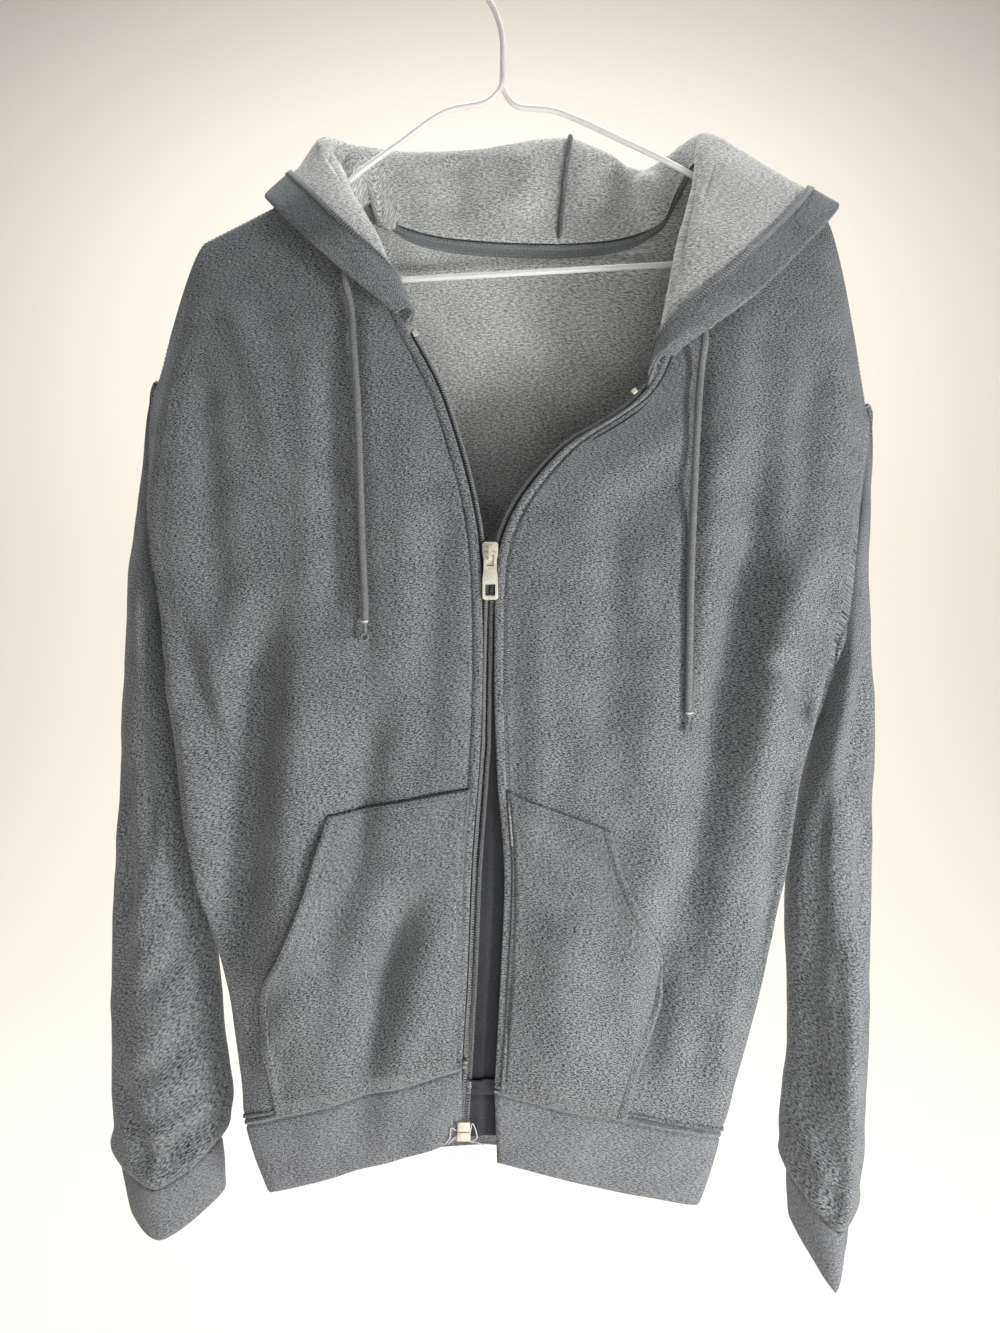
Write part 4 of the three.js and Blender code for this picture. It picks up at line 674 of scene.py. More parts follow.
ringTurns = np.linspace(0, 4, 73)
for side in ("left", "right"):
    points, down = sleeveSurface(side, ringTurns)
    sign = -1 if side == "left" else 1
    normals = gridNormals(points, True) * sign
    u, v = cutLengths(points)
    inFront, behind = np.clip(-normals[..., 1] * 1.3, 0, 1), np.clip(normals[..., 1] * 1.3, 0, 1)
    fade = np.clip(down / 0.12, 0, 1)[:, None]
    relief = 0.75 * foldRelief(sleeves[side]["folds"], points, inFront) * fade
    backFolds = [(a - 6, b - 18, c + 5, d - 10, e - 4, f + 14, w, h) for a, b, c, d, e, f, w, h in sleeves[side]["folds"]]
    relief += 0.75 * foldRelief(backFolds, points, behind) * fade
    relief += fade * (1.3 * waver(points, 42, 6.6) + 0.5 * waver(points, 17, 2.2))
    left = v[-1:] - v
    relief += 3.2 * np.exp(-((left - 11) / 8) ** 2) * (1 + 0.5 * np.sin(ringTurns * 5.3 + 1))[None]
    relief -= 2.2 * np.exp(-(left / 2.4) ** 2) + 0.9 * np.exp(-(v / 2.0) ** 2)
    fromHead = np.minimum(ringTurns, 4 - ringTurns) * np.where(ringTurns < 2, 1, -1)
    head = 2.6 * np.exp(-((fromHead - 0.25) / 0.6) ** 2)[None] * (np.exp(-((down - 0.07) / 0.08) ** 2) * np.clip(down / 0.02, 0, 1))[:, None]
    shaped = points + normals * relief[..., None] + head[..., None] * (sign, -0.2, 0)
    shaped[:, -1] = shaped[:, 0]
    chart = (np.broadcast_to(ringTurns * 44, u.shape), points[..., 2] * 0.85 + points[..., 0] * sign * 0.5)
    piece = cloth("sleeve_cloth_" + side, shaped, gridNormals(shaped, True), 2.0, ("jersey", "lining", "jersey", "jersey"), True,
                  side == "left", nodes=("sleeve_" + side,), chart=chart, band=np.broadcast_to(down[:, None] < 0.8, u.shape))
    keys = np.asarray(sleeves[side]["cuff"], float)[None]
    foot = ringThrough(keys, ringTurns)[0]
    share = np.concatenate([np.linspace(0, 0.06, 3), np.linspace(0.06, 1, 19)[1:]])[:, None, None]
    top = points[-1]
    band = top + (foot - top) * share
    outward = gridNormals(band, True) * sign
    cv = cutLengths(band)[1]
    relief = 0.5 * waver(band, 14, 5.5) - 1.2 * np.exp(-(cv / 1.6) ** 2) - 0.8 * np.exp(-((cv[-1:] - cv) / 1.4) ** 2)
    relief += 0.9 * np.sin(share[..., 0] * math.pi)
    band = band + outward * relief[..., None]
    band[:, -1] = band[:, 0]
    piece = cloth("cuff_rib_" + side, band, gridNormals(band, True), 2.6, ("rib",), True, side == "left",
                  nodes=("cuff_" + side,))
print("sleeves made")


# Hem band, from the left front by the back to the right front
hem = {"height": 54, "drawX": 0.9, "drawY": 0.95, "leanLeft": -2, "leanRight": 2, "reach": 50, "wall": 2.6}


def hemTop():
    shares = np.linspace(0, 2, 84)
    halves = np.linspace(0, 19, 90)
    ends = {side: frontSurface(side, shares, np.zeros(84)) for side in ("left", "right")}
    backs = {side: backSurface(side, halves, np.zeros(90)) for side in ("left", "right")}
    return np.concatenate([ends["left"], backs["left"][1:], backs["right"][::-1][1:], ends["right"][::-1][1:]])


top = hemTop()
share = np.concatenate([np.linspace(0, 0.12, 13), np.linspace(0.12, 0.95, 16)[1:], np.linspace(0.95, 1, 4)[1:]])[:, None]
draw = share * np.minimum(1, np.abs(top[:, 0]) / 60)
lean = np.where(top[:, 1] > 0, 0, np.maximum(0, 1 - np.abs(top[:, 0]) / hem["reach"])) * share
band = np.stack([
    top[:, 0] * (1 - (1 - hem["drawX"]) * draw) + np.where(top[:, 0] < 0, hem["leanLeft"], hem["leanRight"]) * lean,
    top[:, 1] * (1 - (1 - hem["drawY"]) * share),
    top[:, 2] - hem["height"] * share,
], -1)
outward = gridNormals(band)
u, v = cutLengths(band)
inFront = np.clip(-outward[..., 1] * 1.4, 0, 1)
relief = 0.3 * foldRelief(fronts["left"]["folds"] + fronts["right"]["folds"], band, inFront)
relief += 0.3 * foldRelief(back["folds"], band, np.clip(outward[..., 1] * 1.4, 0, 1))
relief += (0.1 + 1.3 * np.clip(np.abs(outward[..., 1]) * 1.4, 0, 1) ** 2) * np.exp(-((v - 2.0) / 1.1) ** 2) - 1.0 * np.exp(-(v / 0.9) ** 2) - 1.2 * np.exp(-((v - 4.8) / 1.0) ** 2)
relief -= 0.5 * np.exp(-(v / 7) ** 2) + 0.8 * np.exp(-((v[-1:] - v) / 1.4) ** 2)
relief += 1.0 * np.sin(share * math.pi) + 0.6 * waver(band, 24, 9.9)
shaped = band + outward * relief[..., None]
ribPiece = cloth("hem_band", shaped, gridNormals(shaped), hem["wall"], ("rib",), nodes=("hem_rib",))
print("hem made")


# The hood, laid back: from the neck seam over the crest to the low point and the opening edge
hoods = {
    "left": {
        "spread": [0, 0.14, 0.28, 0.4, 0.5, 0.75, 1],
        "crest": [(60, 29, -134), (-4, 28, -141), (-66, 27, -147), (-106, 20, -147), (-126, 2, -152), (-92, -36, -222), (-57, -35, -291)],
        "low": [(62, 66, -345), (-22, 66, -330), (-90, 62, -286), (-132, 48, -222), (-147, 5, -171), (-107, -44, -231), (-61, -40, -289)],
        "edge": [(62, 92, -185), (-20, 90, -186), (-88, 82, -190), (-142, 58, -198), (-169, 4, -190), (-128, -38, -240), (-67, -39, -292)],
    },
    "right": {
        "spread": [0, 0.14, 0.28, 0.4, 0.5, 0.75, 1],
        "crest": [(60, 29, -134), (88, 28, -145), (116, 26, -162), (140, 20, -152), (162, 2, -147), (136, -36, -246), (117, -37, -329)],
        "low": [(62, 66, -345), (110, 65, -330), (158, 58, -280), (196, 42, -216), (206, 2, -169), (164, -44, -262), (121, -43, -324)],
        "edge": [(62, 92, -185), (115, 89, -187), (168, 76, -194), (236, 48, -204), (257, 0, -201), (188, -40, -277), (128, -42, -320)],
    },
}
hoodCloth = {"wall": 2.0, "hemWidth": 26, "hemWall": 1.6}


def neckLine(side, spread):
    neck = np.asarray(fronts[side]["zipEdge"][9], float)
    middle = np.asarray(back["middle"][9], float)
    behind = middle + (neck - middle) * neckShares(np.clip(spread * 2, 0, 1))
    before = frontSurface(side, np.zeros_like(spread), 9 - 4 * np.clip(spread - 0.5, 0, 0.5))
    return np.where((spread <= 0.5)[..., None], behind, before)


def hoodSurface(side, spread, place):
    table = hoods[side]
    level = np.interp(spread, table["spread"], range(7))
    neck = neckLine(side, spread)
    crest, low, edge = (through(table[name], level) for name in ("crest", "low", "edge"))
    lying = np.clip((spread - 0.34) / 0.16, 0, 1)[..., None]
    lying = lying * lying * (3 - 2 * lying)
    outward = (edge - neck) * (0.5, 0.5, 0)
    crestSlope = outward + ((low - neck) * 0.5 - outward) * lying
    lowSlope = outward + ((edge - crest) * 0.5 - outward) * lying
    result = np.zeros(np.broadcast(spread, place).shape + (3,))
    spans = ((neck, crest, crest - neck, crestSlope), (crest, low, crestSlope, lowSlope), (low, edge, lowSlope, edge - low))
    for index, (start, end, leave, arrive) in enumerate(spans):
        t = np.clip(place - index, 0, 1)[..., None]
        curve = start * (1 + 2 * t) * (1 - t) ** 2 + leave * t * (1 - t) ** 2 + end * t * t * (3 - 2 * t) + arrive * t * t * (t - 1)
        inside = (place >= index) & ((place <= index + 1) if index == 2 else (place < index + 1))
        result = np.where(inside[..., None], curve, result)
    return result


hoodSpreads = np.concatenate([np.linspace(0, 0.5, 62), np.linspace(0.5, 0.97, 40)[1:], np.linspace(0.97, 1, 5)[1:]])
hoodPlaces = np.concatenate([np.linspace(0, 0.06, 4), np.linspace(0.06, 1, 22)[1:], np.linspace(1, 2, 34)[1:], np.linspace(2, 3, 30)[1:]])
hoodFolds = {
    "left": [(-112, -150, -120, -175, -112, -205, 6, -4), (-30, -150, -26, -175, -34, -205, 16, -3), (20, -140, 26, -170, 20, -200, 14, 3)],
    "right": [(88, -150, 92, -175, 84, -205, 12, -4), (117, -165, 122, -190, 128, -230, 9, 4), (150, -160, 142, -200, 134, -270, 7, -3)],
}
for side in ("left", "right"):
    spread, place = np.meshgrid(hoodSpreads, hoodPlaces, indexing="ij")
    points = hoodSurface(side, spread, place)
    sign = -1 if side == "left" else 1
    normals = gridNormals(points) * sign
    u, v = cutLengths(points)
    fade = np.clip(place / 0.15, 0, 1) * np.clip(spread / 0.04, 0, 1) * np.clip((1 - spread) / 0.2, 0, 1)
    relief = fade * (2.4 * waver(points, 46, 7.7) + 0.8 * waver(points, 18, 1.3))
    relief -= foldRelief(hoodFolds[side], points, np.clip(normals[..., 1] * 1.3, 0, 1)) * fade * (place < 1.2)
    relief += 0.8 * np.exp(-(u / 1.8) ** 2) * (spread < 0.98) + 0.9 * np.exp(-(v / 2.0) ** 2) * (place < 2.6)
    shaped = points + normals * relief[..., None]
    if side == "left":
        ridges = np.exp(-((spread - 0.455) / 0.024) ** 2) + 0.7 * np.exp(-((spread - 0.39) / 0.022) ** 2)
        ridges = ridges * np.exp(-((place - 0.32) / 0.26) ** 2) * np.clip(place / 0.12, 0, 1)
        shaped = shaped + ridges[..., None] * (2, -11, -40)
    piece = cloth("hood_cloth_" + side, shaped, gridNormals(shaped), hoodCloth["wall"], ("jersey", "lining"), flip=side == "left",
                  nodes=("hood_" + side,), chart=(points[..., 0], points[..., 2] + 0.6 * points[..., 1]))
print("hood made")


def smoothRun(points, count):
    points = np.asarray(points, float)
    steps = np.linalg.norm(np.diff(points, axis=0), axis=1) ** 0.5
    knots = np.concatenate([[0], np.cumsum(steps)])
    ends = np.concatenate([[2 * points[0] - points[1]], points, [2 * points[-1] - points[-2]]])
    endKnots = np.concatenate([[-steps[0]], knots, [knots[-1] + steps[-1]]])
    places = np.linspace(0, knots[-1], count)
    low = np.clip(np.searchsorted(knots, places, side="right") - 1, 0, len(knots) - 2)
    result = []
    for place, index in zip(places, low):
        p, t = ends[index:index + 4], endKnots[index:index + 4]
        a1, a2, a3 = ((t[k + 1] - place) / (t[k + 1] - t[k]) * p[k] + (place - t[k]) / (t[k + 1] - t[k]) * p[k + 1] for k in range(3))
        b1 = (t[2] - place) / (t[2] - t[0]) * a1 + (place - t[0]) / (t[2] - t[0]) * a2
        b2 = (t[3] - place) / (t[3] - t[1]) * a2 + (place - t[1]) / (t[3] - t[1]) * a3
        result.append((t[2] - place) / (t[2] - t[1]) * b1 + (place - t[1]) / (t[2] - t[1]) * b2)
    return np.array(result)


# Pockets: patches on the fronts, from the zip to the slanted hand opening
pocketShapes = {
    "left": {"levels": [0.03, 0.4, 1, 1.35, 1.8, 2.2, 2.45], "shares": [0.82, 0.835, 0.83, 0.71, 0.6, 0.53, 0.49], "top": 2.64},
    "right": {"levels": [0.03, 0.5, 1.1, 1.6, 2.05, 2.45], "shares": [0.56, 0.58, 0.62, 0.5, 0.4, 0.36], "top": 2.85},
}
pocket = {"lift": 0.9, "wall": 2.0, "puff": 2.2, "inner": 0.025}


# A place on a finished piece, by its grid's own row and column
def onGrid(values, row, column):
    i = np.clip(np.floor(row).astype(int), 0, values.shape[0] - 2)
    j = np.clip(np.floor(column).astype(int), 0, values.shape[1] - 2)
    a, b = (row - i), (column - j)
    if values.ndim == 3:
        a, b = a[..., None], b[..., None]
    return (values[i, j] * (1 - a) + values[i + 1, j] * a) * (1 - b) + (values[i, j + 1] * (1 - a) + values[i + 1, j + 1] * a) * b


def onFront(side, share, level):
    piece = pieces["front_panel_" + side]
    row = np.interp(level, frontRows, range(len(frontRows)))
    column = np.interp(share, frontColumns(), range(len(frontColumns())))
    return onGrid(piece["points"], row, column), unit(onGrid(piece["normals"], row, column))


for side in ("left", "right"):
    shape = pocketShapes[side]
    over, up = np.meshgrid(np.linspace(0, 1, 52), np.linspace(0, 1, 62))
    low, outerTop = shape["levels"][0], shape["levels"][-1]
    topLevel = shape["top"] + (outerTop - shape["top"]) * over
    level = low + (topLevel - low) * up
    outerLevel = low + (outerTop - low) * up
    opening = smoothRun(list(zip(shape["shares"], shape["levels"])), 120)
    outer = np.interp(outerLevel, opening[:, 1], opening[:, 0])
    share = pocket["inner"] + (outer - pocket["inner"]) * over
    base, out = onFront(side, share, level)
    u, v = cutLengths(base)
    toOpening, toTop = u[:, -1:] - u, v[-1:] - v
    stand = pocket["lift"] + pocket["wall"] + pocket["puff"] * np.sin(math.pi * over) * np.sin(math.pi * up) ** 0.7
    opening = np.clip((up - 0.38) / 0.1, 0, 1) * np.clip((0.98 - up) / 0.1, 0, 1)
    stand += 4.0 * opening * np.exp(-(toOpening / 14) ** 2)
    stand += (0.9 * np.exp(-((toOpening - 4) / 2.2) ** 2) - 1.3 * np.exp(-((toOpening - 7.4) / 1.1) ** 2)
              - 1.2 * np.exp(-((toTop - 6) / 1.1) ** 2))
    stand -= 0.7 * np.exp(-(toTop / 1.2) ** 2) + 0.6 * np.exp(-(toOpening / 1.1) ** 2) + 0.7 * np.exp(-(u / 1.2) ** 2)
    shaped = base + out * stand[..., None]
    piece = cloth("pocket_patch_" + side, shaped, gridNormals(shaped), 1.9, ("jersey", "lining"), flip=side == "left",
                  nodes=("pocket_" + side,))
print("pockets made")


# Neck tape over the inside of the back neck seam
tapeColumns = np.linspace(13.6, 19, 40)
rowsUp = np.linspace(0, 1, 8)
tapeLevels = 8.7 + (8.99 - 8.7) * rowsUp
halves = {side: backSurface(side, *np.meshgrid(tapeColumns, tapeLevels)) for side in ("left", "right")}
points = np.concatenate([halves["left"], halves["right"][:, ::-1][:, 1:]], 1)
inward = gridNormals(points)
points = points + inward * (2.0 + 0.9 + 0.5 * np.sin(rowsUp * math.pi)[:, None])[..., None]
piece = cloth("neck_seam_tape", points, gridNormals(points), 0.9, ("tape",), nodes=("neck_tape",))
print("neck tape made")


# Curves: wire and cords
def tube(name, points, diameter, look, sides=6):
    curve = bpy.data.curves.new(name, "CURVE")
    curve.dimensions = "3D"
    curve.bevel_depth = diameter / 2
    curve.bevel_resolution = sides // 2
    curve.use_fill_caps = True
    spline = curve.splines.new("POLY")
    spline.points.add(len(points) - 1)
    for spot, point in zip(spline.points, points):
        spot.co = (*point, 1)
    curve.materials.append(finishes[look])
    piece = newPiece(name, curve)
    return piece


# A round run with its own UV map: metres round it and along it
def roundRun(name, path, radius, look, sides=12, ridges=0, twist=0.0, depth=0.0, closeEnds=True):
    path = np.asarray(path, float)
    along = unit(np.gradient(path, axis=0))
    side = np.zeros_like(path)
    side[0] = unit(np.cross(along[0], (0.3, 1, 0.2)))
    for index in range(1, len(path)):
        kept = side[index - 1] - along[index] * (side[index - 1] * along[index]).sum()
        side[index] = unit(kept)
    up = np.cross(along, side)
    run = runLength(path)
    angle = np.linspace(0, 2 * math.pi, sides + 1)
    girth = np.broadcast_to(np.asarray(radius, float), (len(path),))[:, None] * np.ones(sides + 1)
    if ridges:
        girth = girth + depth * np.abs(np.cos((angle[None] * ridges + twist * run[:, None]) / 2)) - depth / 2
    points = path[:, None] + (side[:, None] * np.cos(angle)[None, :, None] + up[:, None] * np.sin(angle)[None, :, None]) * girth[..., None]
    mesh = gridMesh(name, points, angle[None] * girth[:, :1], np.broadcast_to(run[:, None], girth.shape))[0]
    bm = bmesh.new()
    bm.from_mesh(mesh)
    bmesh.ops.remove_doubles(bm, verts=bm.verts, dist=1e-7)
    if closeEnds:
        bmesh.ops.holes_fill(bm, edges=bm.edges, sides=0)
    bmesh.ops.recalc_face_normals(bm, faces=bm.faces)
    bm.to_mesh(mesh)
    bm.free()
    mesh.shade_smooth()
    piece = newPiece(name, mesh)
    mesh.materials.append(finishes[look])
    return piece


hanger = {
    "diameter": 4.4,
    "wire": [
        (17, 0, -33), (21, 0, -18), (14.8, 0, -3.8), (0, 0, 2.2), (-14.8, 0, -3.8), (-20.5, 0, -18),
        (-15, 0, -32), (-2, 0, -45), (5, -0.5, -60), (8, -1.8, -76), (8, -2.6, -92), (7.5, -2.6, -108),
        (-3, -2.6, -121), (-35, -2.6, -129), (-72, -3.4, -155), (-98, -4.6, -174.5), (-114, -1, -185.5), (-165, 0, -210.5),
        (-192, 0, -224.4), (-203, 0, -233), (-207, 0, -245), (-202, 0, -256), (-188, 0, -260.5), (-76, 0, -254), (135, 0, -242),
        (222, 0, -237), (236, 0, -232), (241, 0, -222), (235, 0, -212.5), (222, 0, -205.5), (155, -1, -178.5),
        (138, -4.2, -171), (100, -2, -151.5), (48, 2.6, -126), (17, 2.6, -121), (8.5, 2.6, -108), (8, 2.6, -92), (8, 2.6, -76),
    ],
}
wire = tube("hanger_wire", smoothRun(hanger["wire"], 420) * mm, hanger["diameter"] * mm, "coating", 12)
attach(wire, "garment")
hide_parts("hanger")

cords = {
    "left": {"hanging": [(-101, -285), (-99, -310), (-96, -350), (-94, -399), (-92, -459), (-90, -500), (-90, -525)], "length": 0.275},
    "right": {"hanging": [(150, -330), (148, -350), (146, -385), (144, -429), (142, -480), (141, -530), (140, -588)], "length": 0.292},
    "leaves": [(3.6, 0), (5.6, 1.2), (7.2, 6), (7, 14)], "diameter": 0.0052, "clear": 0.9, "ringLift": 1.6, "around": (6, 14),
}


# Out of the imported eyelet, down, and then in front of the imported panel, clear of it
def cordRoute(side):
    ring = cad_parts["eyelet_" + side]
    spots = np.unique(np.round([ring.matrix_world @ vert.co for vert in ring.data.vertices], 7), axis=0) / mm
    centre = spots.mean(0)
    normal = np.linalg.svd(spots - centre)[2][2]
    normal *= np.sign(normal[1])
    route = [centre + normal * (reach - cords["ringLift"]) - (0, 0, drop) for reach, drop in cords["leaves"]]
    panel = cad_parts["front_" + side]
    corners = [panel.matrix_world @ vert.co for vert in panel.data.vertices]
    tree = BVHTree.FromPolygons(corners, [face.vertices[:] for face in panel.data.polygons])
    wide, high = cords["around"]
    for x, z in cords[side]["hanging"]:
        hits = [tree.ray_cast(((x + dx) * mm, -1, (z + dz) * mm), (0, 1, 0))[0]
                for dx in (-wide, 0, wide) for dz in (-high, 0, high)]
        depth = min(hit.y / mm if hit else 0 for hit in hits)
        route.append((x, depth - cords["diameter"] / 2 / mm - cords["clear"], z))
    return [tuple(round(float(value) * mm, 4) for value in spot) for spot in route]


cordEnds = {"left": (-90, -39.1, -511), "right": (140.4, -36.7, -576)}
for side in ("left", "right"):
    route = cordRoute(side)
    run = smoothRun(route, 170) / mm
    girth = cords["diameter"] / 2 / mm - 0.1 - 1.3 * np.clip((cordEnds[side][2] - run[:, 2]) / 2, 0, 1)
    cord = roundRun("drawcord_run_" + side, run, girth, "braid", 24, 10, 1.1, 0.5)
    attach(cord, "garment")
    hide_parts("drawcord_" + side)
print("wire and cords made")


def evenly(path, pitch, start=0.0):
    path = np.asarray(path, float)
    run = runLength(path)
    places = np.arange(start, run[-1], pitch)
    return atPlaces(places, run, path)


# Rows of stitches: each stitch is a short capsule that lies on the cloth
stitch = {"pitch": 3.2, "length": 2.3, "width": 0.75, "height": 0.5}


def stitchRow(bm, path, normals, pitch=None, length=None, slant=0.0, width=None):
    pitch, length, width = pitch or stitch["pitch"], length or stitch["length"], width or stitch["width"]
    spots = evenly(path, pitch, pitch / 2)
    run = runLength(path)
    places = np.arange(pitch / 2, run[-1], pitch)[:len(spots)]
    outs = unit(atPlaces(places, run, normals))
    ways = unit(np.gradient(spots, axis=0)) if len(spots) > 1 else spots * 0 + (1, 0, 0)
    for spot, out, way in zip(spots, outs, ways):
        out, way = Vector(out), Vector(way)
        across = out.cross(way).normalized()
        if slant:
            way = (way + across * slant).normalized()
            across = out.cross(way).normalized()
        turn = Matrix((way, across, out)).transposed().to_4x4()
        place = Matrix.Translation(Vector(spot * mm) + out * 0.15 * mm) @ turn
        size = Matrix.Diagonal((length / 2 * mm, width / 2 * mm, stitch["height"] * mm, 1))
        bmesh.ops.create_icosphere(bm, subdivisions=1, radius=1, matrix=place @ size)


def finishRows(bm, name, look="thread"):
    mesh = bpy.data.meshes.new(name)
    bm.to_mesh(mesh)
    bm.free()
    mesh.shade_smooth()
    piece = newPiece(name, mesh)
    mesh.materials.append(finishes[look])
    placeRun(piece)
    return piece


# A line on a finished piece at a distance from one of its edges: points and normals
def besideEdge(name, edge, distance, first=0.0, last=1.0):
    piece = pieces[name]
    u, v = piece["u"], piece["v"]
    points, normals = piece["points"], piece["normals"]
    if edge in ("bottom", "top"):
        points, normals, u = points.transpose(1, 0, 2), normals.transpose(1, 0, 2), v.T
        edge = {"bottom": "left", "top": "right"}[edge]
    from_ = u if edge == "left" else u[:, -1:] - u
    line, outs = [], []
    for row in range(round(first * (len(u) - 1)), round(last * (len(u) - 1)) + 1):
        order = slice(None) if edge == "left" else slice(None, None, -1)
        line.append([np.interp(distance, from_[row][order], points[row, order, axis]) for axis in range(3)])
        outs.append([np.interp(distance, from_[row][order], normals[row, order, axis]) for axis in range(3)])
    return np.array(line), np.array(outs)


# Sewing
bm = bmesh.new()
for side in ("left", "right"):
    name = "front_panel_" + side
    stitchRow(bm, *besideEdge(name, "bottom", 4.2), length=1.1, pitch=2.1, width=1.3)
    stitchRow(bm, *besideEdge(name, "right", 4.0, 0.46, 0.99))
    stitchRow(bm, *besideEdge(name, "top", 4.0))
finishRows(bm, "front_stitches")
bm = bmesh.new()
for side in ("left", "right"):
    stitchRow(bm, *besideEdge("front_panel_" + side, "left", 7.4, 0.0, 0.76))
finishRows(bm, "zip_stitches", "darkThread")
bm = bmesh.new()
stitchRow(bm, *besideEdge("back_panel", "bottom", 4.2), length=1.1, pitch=2.1, width=1.3)
for edge in ("left", "right"):
    stitchRow(bm, *besideEdge("back_panel", edge, 4.0, 0.46, 0.99))
finishRows(bm, "back_stitches")
bm = bmesh.new()
stitchRow(bm, *besideEdge("hem_band", "bottom", 4.6), length=1.1, pitch=2.1, width=1.3)
finishRows(bm, "hem_stitches")
bm = bmesh.new()
for side in ("left", "right"):
    name = "pocket_patch_" + side
    for distance in (1.8, 7.0):
        stitchRow(bm, *besideEdge(name, "right", distance))
    for distance in (1.8, 6.0):
        stitchRow(bm, *besideEdge(name, "top", distance))
finishRows(bm, "pocket_stitches")
bm = bmesh.new()
for side in ("left", "right"):
    stitchRow(bm, *besideEdge("sleeve_cloth_" + side, "top", 3.6), length=1.6, pitch=2.6)
finishRows(bm, "wrist_stitches")
bm = bmesh.new()
for edge in ("top", "bottom"):
    stitchRow(bm, *besideEdge("neck_seam_tape", edge, 1.4), pitch=2.8)
finishRows(bm, "neck_tape_stitches")
print("stitches sewn")


# Hood's hem: the jersey is turned in over the opening edge and stitched down
hoodHem = {"wall": 1.5, "profile": [
    (26, 3.5), (24, 3.9), (18, 4.0), (10, 4.1), (4, 4.2), (1, 4.1), (-0.8, 3.2), (-1.5, 1.6), (-1.0, 0.1), (0.6, -0.5), (3, -0.4),
]}
for side in ("left", "right"):
    hoodPiece = pieces["hood_cloth_" + side]
    base, out, u = hoodPiece["points"], hoodPiece["normals"], hoodPiece["u"]
    rows = []
    for row in range(len(base)):
        fromEdge = (u[row, -1] - u[row])[::-1]
        tangent = unit(base[row, -1] - base[row, -4])
        line = []
        for reach, depth in hoodHem["profile"]:
            at = max(reach, 0)
            spot = np.array([np.interp(at, fromEdge, base[row, ::-1, axis]) for axis in range(3)])
            normal = unit(np.array([np.interp(at, fromEdge, out[row, ::-1, axis]) for axis in range(3)]))
            line.append(spot - normal * depth + tangent * max(-reach, 0))
        rows.append(line)
    stack = np.array(rows)
    dense = np.linspace(0, len(hoodHem["profile"]) - 1, 41)
    smooth = np.stack([through(line, dense) for line in stack])
    facing = gridNormals(smooth) * (1 if side == "left" else -1)
    smooth = smooth + facing * (0.25 * waver(smooth, 14, 3.3))[..., None]
    piece = cloth("hood_hem_" + side, smooth, gridNormals(smooth), hoodHem["wall"], ("facing",), flip=side == "right")
    inner, lift = besideEdge("hood_hem_" + side, "left", 1.8, 0.02, 0.98)
    middle = evenly(inner, 1.15)
    run = runLength(inner)
    lift = unit(atPlaces(np.arange(len(middle)) * 1.15, run, lift))
    over = unit(np.cross(unit(np.gradient(middle, axis=0)), lift))
    swing = np.where(np.arange(len(middle)) % 2, 2.4, -2.4)[:, None]
    piece = roundRun("hood_overlock_" + side, middle + over * swing + lift * 0.5, 0.5, "thread", 5)
    placeRun(piece)
print("hood's hem made")


# The hood's centre seam: an overlocked seam allowance that stands up inside, from the neck over the crest
seam = {"radius": 1.7, "strands": 3, "twist": 1.5, "depth": 0.7}
hoodPiece = pieces["hood_cloth_left"]
last = int(np.searchsorted(hoodPlaces, 1.12))
path = hoodPiece["points"][0, 2:last] - hoodPiece["normals"][0, 2:last] * 3.4
path = evenly(np.concatenate([path, [path[-1] + (1, -3, 7)]]), 0.5)
taper = np.clip(np.minimum(np.arange(len(path)), np.arange(len(path))[::-1]) / 5, 0.35, 1)
piece = roundRun("hood_centre_seam", path, seam["radius"] * taper, "facing", 24, seam["strands"] * 2, seam["twist"], seam["depth"])
placeRun(piece)
print("centre seam made")


# Zip
zipper = {
    "chain": [(-20, -880), (-17, -826), (-13, -755), (-10, -680), (-4, -600), (-2.5, -512), (-1, -475)],
    "opens": (-486, -452), "tapeDepth": 3.4, "tapeWall": 0.6, "hidden": 6.5, "coilDepth": 1.9, "pitch": 1.8,
    "coilWidth": 3.2, "coilHeight": 2.3, "wire": 0.5, "openReach": 5.4, "foot": -882,
}


def chainCentre(z):
    chain = np.array(zipper["chain"], float)
    return np.interp(z, chain[:, 1], chain[:, 0])


